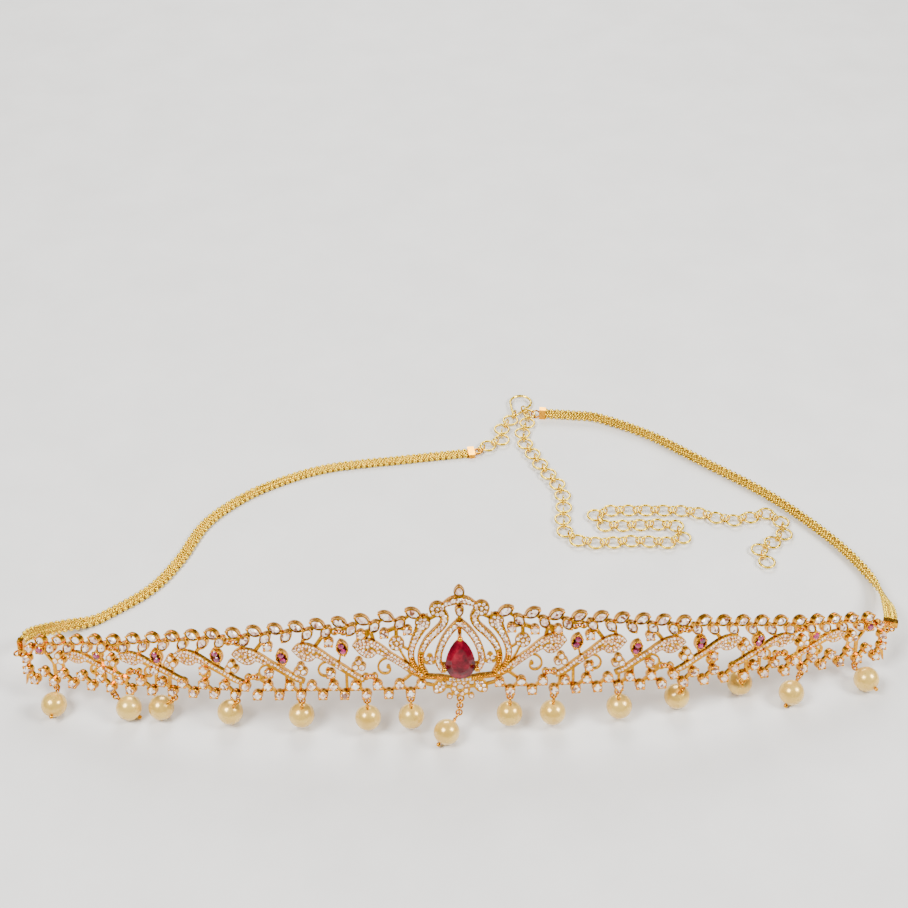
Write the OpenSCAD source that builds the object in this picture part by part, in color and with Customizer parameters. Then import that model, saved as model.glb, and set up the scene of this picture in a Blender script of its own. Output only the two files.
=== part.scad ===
// Waist belt with a jewelled openwork front of seven linked panels, fifteen
// pearl drops, two woven chain bands, a wire hook and a ring extension chain.
// The belt lies on a table, its front leaning back on the pearls.
// Strip coordinates: s runs outward from the middle, v runs up from the lowest stone row.

/* [Front strip] */
// Distance from the middle to the first pair of joint rings
inner_hinge = 31; // [29:0.5:33]
// Distance from the middle to the second pair of joint rings
middle_hinge = 65.4; // [63:0.5:68]
// Distance from the middle to the third pair of joint rings
end_hinge = 103.3; // [101:0.5:106]
// Distance from the middle to the end edge of the strip
strip_half = 137; // [136:0.5:140]
// Height of the top stone row beside the lotus
h_centre = 26.2; // [24:0.2:30]
// Height of the top stone row at the ends
h_end = 13.6; // [12.5:0.1:16]
// Thickness of the pierced plate
plate_t = 1; // [0.8:0.1:1.4]
// Height of the stone cups above the back of the plate
cup_h = 2.1; // [1.9:0.1:2.6]
// Height of the leaves above the back of the plate
leaf_h = 1.7; // [1.5:0.1:2.2]
// Width of the links that join the stone cups
link_w = 0.9; // [0.7:0.1:1.2]
// Width of the gap between two panels
panel_gap = 0.35; // [0.3:0.05:0.5]

/* [How the front stands] */
// Height of the lowest stone row above the table, at the middle
row_lift = 15; // [14.4:0.1:17]
// Angle by which the front leans back
lean = 23; // [15:1:30]
// Turn of the inner panels around the waist
inner_turn = 3; // [1:0.5:5]
// Turn of the middle panels around the waist
middle_turn = 11.5; // [8:0.5:14]
// Turn of the end panels around the waist
end_turn = 18.5; // [15:0.5:22]
// Droop of the middle panels towards the table
middle_droop = 0.75; // [0.25:0.25:2]
// Further droop of the end panels
end_droop = 0.5; // [0:0.25:1.5]

/* [Stone rows] */
// Distance from the middle to the first stone of the top row
top_first = 13.8; // [13.4:0.1:14.2]
// Spacing of the top row
top_pitch = 6.3; // [6.2:0.05:6.4]
// Extra distance that opens up over the first stones of the top row
top_spread = 3.6; // [3.2:0.1:4]
// Length of a top row cup beside the lotus
top_cup_l = 5.6; // [5:0.1:6]
// Length of a top row cup at the ends
top_cup_end_l = 4.2; // [3.9:0.1:4.8]
// Width of a top row cup
top_cup_w = 3.2; // [3:0.1:3.5]
// Tilt of the top row cups, outer end up
top_tilt = 24; // [15:1:30]
// Length of a second row cup
second_cup_l = 4.7; // [4.3:0.1:5]
// Width of a second row cup
second_cup_w = 3.3; // [3:0.1:3.4]
// Tilt of the second row cups, outer end down
second_tilt = 54; // [48:1:60]
// Drop from the top row to the second row
second_drop = 2.7; // [2.6:0.1:3]
// Distance from the middle to the first stone of the lowest row
low_first = 15.1; // [14.9:0.1:15.3]
// Spacing of the lowest row
low_pitch = 6.62; // [6.55:0.01:6.68]
// Rise from the lowest row to the row above it
low_rise = 3; // [2.8:0.1:3.3]
// Outer diameter of a round cup of the two low rows
round_cup = 3.2; // [3:0.1:3.4]
// Wall of a stone cup
cup_wall = 0.42; // [0.35:0.01:0.5]
// Clearance between a stone and its cup
stone_fit = 0.06; // [0.04:0.01:0.1]

/* [Vine] */
// Distance from the middle to the tip of the first leaf
leaf_first = 32.2; // [31.8:0.1:32.6]
// Spacing of the leaves
leaf_pitch = 18.2; // [18:0.1:18.4]
// Length of a leaf with its stem
leaf_len = 21.8; // [20:0.2:22]
// Height of a leaf from the foot of its stem to its tip, beside the lotus
leaf_rise = 12; // [11:0.5:13]
// Width of the wire curls
curl_w = 0.65; // [0.55:0.05:0.8]
// Diameter of the ball at the end of a curl
curl_ball = 1.4; // [1.2:0.1:1.6]
// Length of a bud with two pink stones
bud_l = 5.4; // [5:0.1:5.6]
// Width of a bud
bud_w = 3.7; // [3.4:0.1:3.8]
// Diameter of a round bud with one pink stone
round_bud_d = 3.3; // [3.1:0.1:3.5]

/* [Lotus] */
// Length of the ruby
ruby_l = 13; // [12:0.1:13.4]
// Width of the ruby
ruby_w = 9; // [8.4:0.1:9.2]
// Height of the middle of the ruby above the lowest row
ruby_v = 11.8; // [11.6:0.1:12]
// Height of the ruby's widest line above the back of the plate
ruby_seat = 3.3; // [3.1:0.1:3.6]
// Diameter of the ball prongs of the ruby
prong_ball = 1.7; // [1.5:0.1:1.8]
// Height of the tip of the lotus above the lowest row
finial_v = 35; // [34.6:0.1:35.6]

/* [Pearl drops] */
// Diameter of a pearl
pearl_d = 8; // [7.6:0.1:8.2]
// Diameter of the wire of a head pin
pin_wire = 0.56; // [0.5:0.02:0.6]
// Diameter of the hole through a pearl
pearl_bore = 0.8; // [0.75:0.05:1]
// Diameter of the ball at the foot of a head pin
pin_ball = 1.3; // [1.2:0.1:1.5]
// Middle diameter of a pin's eye
pin_eye = 2.0; // [1.9:0.05:2.2]
// Middle diameter of the eyelet under a stone cup
eyelet_d = 1.9; // [1.85:0.05:2.1]
// Wire of an eyelet
eyelet_wire = 0.6; // [0.5:0.05:0.6]

/* [Bands] */
// Width of a woven chain band
band_w = 4.4; // [4:0.1:5]
// Thickness of a woven chain band
band_t = 1.6; // [1.4:0.1:2]
// Length of the cap on each end of a band
cap_l = 2.4; // [2:0.1:3]
// Thickness of the metal of a band cap
cap_t = 1.9; // [1.8:0.1:2.3]

/* [Rings and hook] */
// Middle diameter of a large chain ring
ring_d = 5.3; // [5.1:0.05:5.4]
// Wire of a large chain ring
ring_wire = 0.8; // [0.7:0.05:0.8]
// Middle diameter of a small chain ring
small_d = 3.1; // [3.05:0.05:3.3]
// Wire of a small chain ring
small_wire = 0.6; // [0.5:0.05:0.6]
// Gap between two large rings inside one small ring
ring_gap = 0.14; // [0.1:0.02:0.2]
// Middle diameter of the ring that joins the right band
clasp_d = 4; // [3.8:0.1:4.2]
// Middle width of the hook's bow
bow_d = 8; // [7.5:0.1:8.4]
// Length of the hook from its bow's centre to its foot
hook_l = 8; // [7.5:0.1:8.6]

/* [Hidden] */
gold = "#E0B04A";
pale_gold = "#E6D36A";
clear_pink = "#F0DCE0";
ruby_red = "#8E1230";
pearl_cream = "#F2DFA8";

// Index ranges of each panel of one side, the middle panel first.
// Columns: first and last top stone, first and last low stone, first and last leaf
PANEL_TOP = 0;
PANEL_TOP_END = 1;
PANEL_LOW = 2;
PANEL_LOW_END = 3;
PANEL_LEAF = 4;
PANEL_LEAF_END = 5;
panels = [
    [0, 3, -1, 3, 0, 0],
    [4, 8, 4, 14, 1, 2],
    [9, 14, 15, 25, 3, 4],
    [15, 18, 26, 36, 5, 5]
];
last_panel = len(panels) - 1;
top_last = panels[last_panel][PANEL_TOP_END];
low_last = panels[last_panel][PANEL_LOW_END];

// Small helpers for points
function unit(v) = v / norm(v);
function mix(a, b, t) = a + (b - a) * t;
function turn2(p, a) = [p[0] * cos(a) - p[1] * sin(a), p[0] * sin(a) + p[1] * cos(a)];
function catmull(a, b, c, d, t) =
    0.5 * (2 * b + (c - a) * t + (2 * a - 5 * b + 4 * c - d) * t * t + (3 * b - a - 3 * c + d) * t * t * t);
function smooth_open(p, n) = [
    for (i = [0:len(p) - 2], k = [0:n - 1])
        catmull(p[max(i - 1, 0)], p[i], p[i + 1], p[min(i + 2, len(p) - 1)], k / n),
    p[len(p) - 1]
];
function run_normal(p, i) =
    let (d = unit(p[min(i + 1, len(p) - 1)] - p[max(i - 1, 0)])) [-d[1], d[0]];

// Stone rows
function top_s(i) = top_first + top_pitch * i + top_spread * (1 - pow(0.5, i));
function strip_h(s) = mix(h_centre, h_end, (s - top_first) / (top_s(top_last) - top_first));
function low_s(m) = low_first + low_pitch * m / 2;
function low_v(m) = m % 2 == 0 ? 0 : low_rise;
function top_point(i) = [top_s(i), strip_h(top_s(i))];
function low_point(m) = [low_s(m), low_v(m)];
function top_l(i) = mix(top_cup_l, top_cup_end_l, i / top_last);
function is_joint(j) = len([for (k = [0:last_panel - 1]) if (panels[k][PANEL_TOP_END] == j) 1]) > 0;
second_shift = 0.8;
function second_point(j) =
    let (s = (top_s(j) + top_s(j + 1)) / 2 + (is_joint(j) ? second_shift : 0))
    [s, strip_h(s) - second_drop];

// Leaves
function leaf_s(k) = leaf_first + leaf_pitch * k;
leaf_height_share = 0.67;
function leaf_scale(k) = strip_h(leaf_s(k)) / strip_h(leaf_first);
function leaf_tip(k) = [leaf_s(k), leaf_height_share * strip_h(leaf_s(k))];
function leaf_at(k, p) = leaf_tip(k) + [p[0] * leaf_len, p[1] * leaf_rise * leaf_scale(k)];

// Joints between panels, from the inner to the outer one
function joint_low_mid(k) = (low_point(panels[k][PANEL_LOW_END]) + low_point(panels[k + 1][PANEL_LOW])) / 2;
function joint_low_side(k) = panels[k][PANEL_LOW_END] % 2 == 1 ? 1 : -1;
joint_eye = 2.3;
joint_hole = 1.3;
joint_ring_d = 2.6;
joint_ring_wire = 0.6;
joint_top_out = 0.25;
joint_top_drop = 3.3;
joint_low_rise = low_rise + round_cup / 2 + joint_eye / 2 - 0.1;
function joint_top(k) =
    let (s = top_s(panels[k][PANEL_TOP_END]) + joint_top_out)
    [s, strip_h(s) - joint_top_drop];
function joint_low(k) = [joint_low_mid(k)[0] + 0.5 * joint_low_side(k), joint_low_rise];
function joint_path(k) =
    let (
        i = panels[k][PANEL_TOP_END],
        a = top_point(i),
        mid = (top_s(i) + top_s(i + 1)) / 2,
        h = strip_h(mid),
        leaf = panels[k][PANEL_LEAF_END],
        m = joint_low_mid(k),
        side = joint_low_side(k),
        ring = joint_low(k),
        lobe = leaf_at(leaf, [-0.24, -0.5]),
        under = [lobe[0], max(lobe[1], ring[1] + 2.3)]
    ) [
        [mid, h + 4],
        [mid - 0.1, h - 0.1],
        [a[0] + 0.3, a[1] - 2],
        [a[0] - 0.15, a[1] - 4.7],
        leaf_at(leaf, [0.055, 0.09]),
        leaf_at(leaf, [0.02, -0.13]),
        under,
        [ring[0], ring[1] + 1.6],
        [ring[0], ring[1] - 1.2],
        m + [0.3 * side, 1.7],
        m + [0.05 * side, 0.1],
        m + [-0.75 * side, -1.3],
        m + [-1.8 * side, -6]
    ];

// Where each panel stands
hinges = [0, inner_hinge, middle_hinge, end_hinge];
turns = [0, inner_turn, middle_turn, end_turn];
droops = [0, 0, middle_droop, middle_droop + end_droop];
function rot_z(p, a) = [p[0] * cos(a) - p[1] * sin(a), p[0] * sin(a) + p[1] * cos(a), p[2]];
function rot_y(p, a) = [p[0] * cos(a) + p[2] * sin(a), p[1], p[2] * cos(a) - p[0] * sin(a)];
function panel_dir(k, p) = rot_z(rot_y(p, droops[k]), turns[k]);
function panel_start(k) =
    k == 0 ? [0, 0, 0] : panel_start(k - 1) + panel_dir(k - 1, [hinges[k] - hinges[k - 1], 0, 0]);
function lean_back(p) = [
    p[0],
    p[1] * cos(lean) + p[2] * sin(lean),
    p[2] * cos(lean) - p[1] * sin(lean)
];
// Point of the real belt for side 1 or -1, panel k, strip point (s, v), d in front of the back face
function belt_point(side, k, s, v, d) =
    let (q = lean_back(panel_start(k) + panel_dir(k, [s - hinges[k], -d, v])))
    [side * q[0], q[1], q[2] + row_lift];
module on_panel(side, k) {
    translate([0, 0, row_lift])
        rotate([-lean, 0, 0])
            mirror([side < 0 ? 1 : 0, 0, 0])
                translate(panel_start(k))
                    rotate([0, 0, turns[k]])
                        rotate([0, droops[k], 0])
                            translate([-hinges[k], 0, 0])
                                rotate([90, 0, 0])
                                    children();
}

// Flat shapes
module lens2d(l, w) {
    r = (l * l + w * w) / (4 * w);
    intersection() {
        translate([0, w / 2 - r])
            circle(r = r, $fn = 96);
        translate([0, r - w / 2])
            circle(r = r, $fn = 96);
    }
}
module bar2d(a, b, w) {
    d = b - a;
    translate(a)
        rotate(atan2(d[1], d[0]))
            translate([0, -w / 2])
                square([norm(d), w]);
}
// Band of changing width along a run of points
module run2d(p, w) {
    polygon([
        for (i = [0:len(p) - 1]) p[i] - run_normal(p, i) * w[i] / 2,
        for (i = [len(p) - 1:-1:0]) p[i] + run_normal(p, i) * w[i] / 2
    ]);
}
module even_run2d(p, w) {
    run2d(p, [for (i = p) w]);
}

// Outline of a leaf with its stem, as shares of the leaf's length and rise, tip first
leaf_upper = [
    [0, 0], [-0.04, 0.1], [-0.1, 0.165], [-0.21, 0.17], [-0.32, 0.09], [-0.43, -0.06],
    [-0.54, -0.24], [-0.66, -0.4], [-0.77, -0.56], [-0.88, -0.73], [-1, -0.86]
];
leaf_lower = [
    [-0.98, -0.97], [-0.88, -0.9], [-0.79, -0.8], [-0.7, -0.67], [-0.6, -0.53], [-0.51, -0.42],
    [-0.43, -0.32], [-0.36, -0.24], [-0.32, -0.23], [-0.27, -0.32], [-0.18, -0.33], [-0.09, -0.21]
];
leaf_steps = 3;
function leaf_outline(k) = [
    for (p = concat(smooth_open(leaf_upper, leaf_steps), smooth_open(leaf_lower, leaf_steps))) leaf_at(k, p)
];
module leaf2d(k) {
    polygon(leaf_outline(k));
}
// Curl under a leaf: a spiral wire that starts on the stem and ends in a ball
curl_start = 150;
curl_sweep = 370;
curl_steps = 22;
function curl_centre(k) = leaf_at(k, [-0.46, -0.67]);
function curl_point(k, t) =
    curl_centre(k) + leaf_scale(k) * mix(4.1, 0.75, pow(t, 0.8)) * [
        cos(curl_start - curl_sweep * t),
        sin(curl_start - curl_sweep * t)
    ];
module curl2d(k) {
    even_run2d([for (i = [0:curl_steps]) curl_point(k, i / curl_steps)], curl_w);
    translate(curl_point(k, 1))
        circle(d = curl_ball, $fn = 24);
}
// Buds and trefoils stand outside the tips of their leaves, on thin stems from the next leaf.
// Columns: shares of the leaf's length and rise, from its tip
bud_tilt = 72;
round_bud_first = 4;
bud_shares = [[0.14, -0.06], [0.14, -0.22], [0.21, -0.1], [0.25, -0.1], [0.295, -0.07], [0.37, 0.12]];
trefoil_shares = [
    [-0.08, -0.53], [-0.11, -0.6], [0.005, -0.45], [0.05, -0.26], [0.095, -0.24], [0.085, -0.24]
];
function bud_point(k) = leaf_at(k, bud_shares[k]);
function trefoil_point(k) = leaf_at(k, trefoil_shares[k]);
trefoil_reach = 1.15;
single_cup = 3;
post_w = 1.2;
// Small single stones hung under the second row, one column for each stone: panel, s, share of height
singles = [
    [0, 15.6, 0.8], [0, 22.6, 0.79], [0, 29.6, 0.81], [1, 39.2, 0.74], [1, 57.6, 0.75],
    [1, 38.9, 0.3], [1, 57.6, 0.34], [2, 77.5, 0.4], [2, 93.2, 0.38], [3, 110.4, 0.36]
];

// Heights of the two zigzag stone chains, for the posts that join the vine to them
function top_chain_table(k) = [
    for (i = [panels[k][PANEL_TOP]:panels[k][PANEL_TOP_END]]) each concat(
        i > 0 && (i > panels[k][PANEL_TOP] || k > 0) ? [second_point(i - 1)] : [],
        [top_point(i)]
    )
];
function low_chain_table(k) = [for (m = [panels[k][PANEL_LOW]:panels[k][PANEL_LOW_END]]) low_point(m)];
module chain_links2d(p) {
    for (i = [0:len(p) - 2])
        bar2d(p[i], p[i + 1], link_w);
}
// Lower end of a second row cup, and the one of a panel that stands nearest to a place
function second_foot(j) =
    second_point(j) + (second_cup_l / 2 - cup_wall) * [cos(second_tilt), -sin(second_tilt)];
function near_foot(k, s) =
    let (
        first = max(panels[k][PANEL_TOP] - 1, 0),
        away = [for (j = [first:panels[k][PANEL_TOP_END] - 1]) abs(second_foot(j)[0] - s)]
    )
    second_foot(first + search(min(away), away)[0]);
module post_up2d(k, p) {
    bar2d(p, near_foot(k, p[0]), post_w);
}
module post_down2d(k, p) {
    bar2d([p[0] - 0.01, lookup(p[0], low_chain_table(k))], p, link_w);
}

// Cups: the outline of the wall, and the seat in it
module cup_at(p, a) {
    translate(p)
        rotate(a)
            children();
}
module top_cups2d(k, grow) {
    for (i = [panels[k][PANEL_TOP]:panels[k][PANEL_TOP_END]])
        cup_at(top_point(i), top_tilt)
            lens2d(top_l(i) + 2 * grow, top_cup_w + 1.4 * grow);
    for (i = [panels[k][PANEL_TOP]:panels[k][PANEL_TOP_END]])
        if (i > 0 && (i > panels[k][PANEL_TOP] || k > 0))
            cup_at(second_point(i - 1), -second_tilt)
                lens2d(second_cup_l + 2 * grow, second_cup_w + 1.4 * grow);
}
module low_cups2d(k, grow) {
    for (m = [panels[k][PANEL_LOW]:panels[k][PANEL_LOW_END]])
        translate(low_point(m))
            circle(d = round_cup + 2 * grow, $fn = 32);
}
module trefoil2d(p, reach, grow) {
    for (a = [-30, 90, 210])
        translate(p + reach * [cos(a), sin(a)])
            circle(d = 2.2 * reach + 2 * grow, $fn = 24);
}
cup_inset = 0.1;

// Vine of one panel
function bud_first(k) = 2 * (k - 1);
function bud_last(k) = 2 * k - 1;
module vine2d(k) {
    for (i = [panels[k][PANEL_LEAF]:panels[k][PANEL_LEAF_END]]) {
        leaf2d(i);
        curl2d(i);
        post_up2d(k, leaf_at(i, [-0.13, 0.08]));
        post_up2d(k, leaf_at(i, [-0.3, 0.02]));
        if (i > 0)
            post_down2d(k, leaf_at(i, [-0.93, -0.86]));
        if (i > 0)
            post_down2d(k, leaf_at(i, [-0.74, -0.66]));
    }
    if (k > 0)
        for (i = [bud_first(k):bud_last(k)]) {
            bar2d(bud_point(i), leaf_at(i + 1, [-0.64, -0.42]), curl_w);
            bar2d(trefoil_point(i), leaf_at(i + 1, [-0.8, -0.74]), curl_w);
        }
}
module buds2d(k, grow) {
    if (k > 0)
        for (i = [bud_first(k):bud_last(k)])
            cup_at(bud_point(i), bud_tilt)
                if (i < round_bud_first)
                    lens2d(bud_l + 2 * grow, bud_w + 1.4 * grow);
                else
                    circle(d = round_bud_d + 2 * grow, $fn = 32);
}
module trefoils2d(k, grow) {
    if (k > 0)
        for (i = [bud_first(k):bud_last(k)])
            trefoil2d(trefoil_point(i), trefoil_reach, grow);
}
module singles2d(k, grow) {
    for (q = singles)
        if (q[0] == k)
            translate([q[1], q[2] * strip_h(q[1])])
                circle(d = single_cup + 2 * grow, $fn = 32);
}
module single_posts2d(k) {
    for (q = singles)
        if (q[0] == k)
            if (q[2] > 0.45)
                post_up2d(k, [q[1], q[2] * strip_h(q[1])]);
            else
                post_down2d(k, [q[1], q[2] * strip_h(q[1])]);
}

// End of the strip: three stones, a pointed foot and the eyelet for the band
end_stones = [[strip_half - 2, 10.6], [strip_half - 0.7, 7], [strip_half - 0.5, 3.2]];
end_foot = [strip_half + 1.2, -2.4];
end_eye = [strip_half + 1.6, 8];
end_eye_d = 2.4;
end_eye_hole = 1.6;
module end_cups2d(grow) {
    for (p = end_stones)
        translate(p)
            circle(d = single_cup + 2 * grow, $fn = 32);
}
module end_work2d() {
    chain_links2d(concat([top_point(top_last)], end_stones, [low_point(low_last)]));
    post_down2d(last_panel, leaf_at(panels[last_panel][PANEL_LEAF_END] + 1, [-0.64, -0.42]));
    polygon([end_stones[2] + [-0.9, 0], end_foot, end_stones[2] + [0.9, 0]]);
    translate(end_eye)
        circle(d = end_eye_d, $fn = 32);
    bar2d(end_stones[1], end_eye, link_w);
    bar2d(end_stones[0], end_eye, link_w);
}

// Lotus, right half; the left half mirrors it. Columns: s, v, width
swan_inner = [
    [5.6, 26.4, 3.1], [4.4, 24.4, 2.8], [5.2, 22, 2.6], [7.2, 19.9, 2.5],
    [9.5, 17.4, 2.5], [11.2, 14.4, 2.2], [11.9, 11.4, 2], [11.6, 8.8, 1.8], [10.4, 6.4, 1.6]
];
swan_outer = [
    [10.9, 23.4, 4.2], [11.6, 21.4, 3.5], [12.8, 19, 2.7], [14, 16.3, 2.3],
    [14.7, 13.5, 2.1], [14.5, 10.8, 1.9], [13.4, 8.2, 1.7], [11.8, 6.2, 1.6]
];
arch_half = [
    [0, 22.7, 2.6], [1.6, 21.4, 2.3], [3.4, 19.3, 2.3], [5, 16.6, 2.3],
    [6.2, 13.4, 2.3], [6.6, 10.6, 2.3], [5.9, 8.3, 2], [5.2, 7, 1.5]
];
base_half = [[0, 4.1, 1.7], [3, 4.2, 1.7], [5.8, 4.8, 1.6], [9, 5.1, 1.5], [12, 5.7, 1.5], [15, 7, 1.6]];
cap_half = [[0, 30.1, 2.8], [2, 29.8, 2.6], [3.8, 29, 1.9], [5.4, 28, 0.9]];
run_steps = 3;
function run_line(r) = smooth_open([for (p = r) [p[0], p[1]]], run_steps);
function run_width(r, grow) = [for (p = smooth_open([for (p = r) [p[2], 0]], run_steps)) p[0] + 2 * grow];
swan_head = [6.6, 27.2];
swan_head_r = 2.5;
outer_head = [11, 22.9];
outer_head_r = 2.4;
outer_beak = [9.4, 25.7];
crown_stone_l = 3.6;
crown_stone = [0, finial_v - crown_stone_l / 2 - 0.2];
crown_stone_w = 3.4;
drop_stone = [0, 26.5];
drop_stone_l = 3.6;
drop_stone_w = 2.9;
lotus_cluster = [9.1, 10.6];
lotus_flower = [19, 16.3];
lotus_flower_d = 4.8;
base_leaf = [6.2, 1.6];
base_leaf_l = 5.4;
base_leaf_w = 4;
base_leaf_tilt = -50;
base_ring = [0, 1.2];
base_ring_d = 6.2;
base_ring_hole = 1.9;
base_foot = [3.3, -1.7];
base_foot_d = 1.9;
// Pear outline with its tip up: radius at an angle measured from the tip
pear_steps = 24;
pear_taper = 0.45;
pear_full = 1.24;
function pear_outline(l, w, n) = [
    for (i = [0:n - 1])
        let (a = 360 * i / n)
        [-w / 2 * sin(a) * pear_full * (1 - pear_taper * (1 + cos(a)) / 2), l / 2 * cos(a)]
];
module pear2d(l, w) {
    polygon(pear_outline(l, w, pear_steps));
}
module lotus_runs2d(grow) {
    for (r = [swan_inner, swan_outer, arch_half, base_half, cap_half])
        run2d(run_line(r), run_width(r, grow));
    if (grow == 0)
        for (r = [swan_inner, swan_outer, arch_half, base_half, cap_half], q = [r[0], r[len(r) - 1]])
            translate([q[0], q[1]])
                circle(d = q[2] * 1.08, $fn = 32);
    translate(swan_head)
        circle(r = swan_head_r + grow, $fn = 40);
    translate(outer_head)
        circle(r = outer_head_r + grow, $fn = 40);
    polygon([outer_head + [-1.9, 0.9], outer_head + [0.4, 2.1], outer_beak]);
}
module lotus_half2d() {
    lotus_runs2d(0);
    translate(lotus_flower)
        circle(d = lotus_flower_d, $fn = 32);
    post_up2d(0, lotus_flower);
    bar2d(lotus_flower, [lotus_flower[0] - 2, 12], curl_w);
    bar2d([lotus_flower[0] - 2, 12], leaf_at(0, [-0.8, -0.66]), curl_w);
    bar2d(lotus_flower, [lotus_flower[0] - 4.6, 13.4], curl_w);
    trefoil2d(lotus_cluster, 0.95, 0);
    bar2d([6, 10.6], [12, 10.6], link_w);
    cup_at(base_leaf, base_leaf_tilt)
        lens2d(base_leaf_l, base_leaf_w);
    bar2d(base_leaf, base_ring, link_w);
    bar2d(base_leaf, [6.4, 4.9], link_w);
    bar2d(base_leaf, low_point(-1), link_w);
    bar2d(low_point(-1), [low_point(-1)[0], 5.7], link_w);
    bar2d(base_ring, base_foot, link_w);
    translate(base_foot)
        circle(d = base_foot_d, $fn = 24);
    bar2d(low_point(1), [14, 6.6], link_w);
    bar2d(outer_head, top_point(0), link_w);
    bar2d(outer_head, [swan_head[0], swan_head[1] - 2], link_w);
}
module lotus_centre2d() {
    translate(crown_stone)
        pear2d(crown_stone_l, crown_stone_w);
    translate(drop_stone)
        rotate(180)
            pear2d(drop_stone_l, drop_stone_w);
    bar2d([0, 28], crown_stone, 1.2);
    bar2d([0, 22.7], [0, 28], 0.9);
    translate(base_ring)
        circle(d = base_ring_d, $fn = 40);
    bar2d([0, 3], [0, 5.2], 1.4);
}

// Ruby setting: an open gallery under the stone, carried by arms, and three ball prongs
gallery_share = 0.8;
gallery_hole = 0.69;
prong_out = 0.62;
ruby_tip_prong = [0, ruby_v + ruby_l / 2 + prong_out];
ruby_side_prong = [ruby_w / 2 - 0.25 + prong_out, ruby_v - 2.9];
prong_spots = [ruby_tip_prong, ruby_side_prong, [-ruby_side_prong[0], ruby_side_prong[1]]];
prong_wire = 1;
module ruby_setting2d() {
    translate([0, ruby_v])
        pear2d(ruby_l * gallery_share, ruby_w * gallery_share);
    bar2d([0, ruby_v], [0, 22.4], 1.2);
    bar2d([0, ruby_v], [0, 4.2], 1.4);
    bar2d([-6.6, ruby_side_prong[1]], [6.6, ruby_side_prong[1]], 1.2);
}
module ruby_prongs() {
    for (p = prong_spots)
        translate([p[0], p[1], 0.2]) {
            cylinder(d = prong_wire, h = ruby_seat + 0.9, $fn = 24);
            translate([0, 0, ruby_seat + 1.1])
                sphere(d = prong_ball, $fn = 24);
        }
}

// One panel, drawn flat: the joint gaps bound it on both sides
region_far = 146;
region_top = 40;
region_low = -8;
function panel_side(k, way) = let (p = joint_path(k)) [
    for (i = [0:len(p) - 1]) p[i] + way * run_normal(p, i) * panel_gap / 2
];
function panel_region(k) = concat(
    k == 0 ? [[-0.5, region_top], [-0.5, region_low]] : panel_side(k - 1, 1),
    k == last_panel ? [[region_far, region_low], [region_far, region_top]] :
        let (p = panel_side(k, -1)) [for (i = [len(p) - 1:-1:0]) p[i]]
);
module joint_eyes2d(k, hole) {
    d = hole ? joint_hole : joint_eye;
    if (k < last_panel)
        for (p = [joint_top(k), joint_low(k)])
            translate(p - [joint_ring_d / 2, 0])
                circle(d = d, $fn = 32);
    if (k > 0)
        for (p = [joint_top(k - 1), joint_low(k - 1)])
            translate(p + [joint_ring_d / 2, 0])
                circle(d = d, $fn = 32);
}
// Room for the joint rings between the cup walls
module joint_room2d(k) {
    room = joint_ring_d + joint_ring_wire + 0.4;
    for (j = [k - 1, k])
        if (j >= 0 && j < last_panel)
            for (p = [joint_top(j), joint_low(j)])
                translate(p - [room / 2, (joint_ring_wire + 0.3) / 2])
                    square([room, joint_ring_wire + 0.3]);
}
function last_odd(m) = m % 2 == 1 ? m : m - 1;
function first_odd(m) = m % 2 == 1 ? m : m + 1;
module joint_arms2d(k) {
    if (k < last_panel) {
        bar2d(joint_top(k) - [joint_ring_d / 2, 0], top_point(panels[k][PANEL_TOP_END]) - [1.2, 0.4], link_w);
        bar2d(joint_low(k) - [joint_ring_d / 2, 0], low_point(last_odd(panels[k][PANEL_LOW_END])), link_w);
    }
    if (k > 0) {
        bar2d(joint_top(k - 1) + [joint_ring_d / 2, 0], second_point(panels[k][PANEL_TOP] - 1), link_w);
        bar2d(joint_low(k - 1) + [joint_ring_d / 2, 0], low_point(first_odd(panels[k][PANEL_LOW])), link_w);
    }
}
module panel_plate2d(k) {
    difference() {
        union() {
            intersection() {
                union() {
                    top_cups2d(k, 0);
                    low_cups2d(k, 0);
                    chain_links2d(top_chain_table(k));
                    chain_links2d(low_chain_table(k));
                    vine2d(k);
                    buds2d(k, 0);
                    trefoils2d(k, 0);
                    singles2d(k, 0);
                    single_posts2d(k);
                    joint_arms2d(k);
                    if (k == 0)
                        lotus_half2d();
                    if (k == last_panel)
                        end_work2d();
                    if (k == last_panel)
                        end_cups2d(0);
                }
                polygon(panel_region(k));
            }
            joint_eyes2d(k, false);
        }
        joint_eyes2d(k, true);
        if (k == last_panel)
            translate(end_eye)
                circle(d = end_eye_hole, $fn = 32);
    }
}
// Walls of the cups and the raised leaves above the plate
module panel_cups2d(k) {
    intersection() {
        difference() {
            union() {
                top_cups2d(k, -cup_inset);
                low_cups2d(k, -cup_inset);
                buds2d(k, -cup_inset);
                trefoils2d(k, -cup_inset);
                singles2d(k, -cup_inset);
                if (k == last_panel)
                    end_cups2d(-cup_inset);
            }
            top_cups2d(k, -cup_inset - cup_wall);
            low_cups2d(k, -cup_inset - cup_wall);
            buds2d(k, -cup_inset - cup_wall);
            trefoils2d(k, -cup_inset - cup_wall);
            singles2d(k, -cup_inset - cup_wall);
            if (k == last_panel)
                end_cups2d(-cup_inset - cup_wall);
            joint_room2d(k);
        }
        polygon(panel_region(k));
    }
}
function inset_outline(p, d) = let (n = len(p)) [
    for (i = [0:n - 1])
        let (e = unit(p[(i + 1) % n] - p[(i + n - 1) % n])) p[i] + d * [-e[1], e[0]]
];
layer_sink = 0.3;
leaf_inset = 0.13;
module leaf_relief2d(k) {
    difference() {
        intersection() {
            union()
                for (i = [panels[k][PANEL_LEAF]:panels[k][PANEL_LEAF_END]])
                    polygon(inset_outline(leaf_outline(i), -leaf_inset));
            polygon(panel_region(k));
        }
        joint_room2d(k);
        top_cups2d(k, -cup_inset - cup_wall / 2);
    }
}
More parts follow.
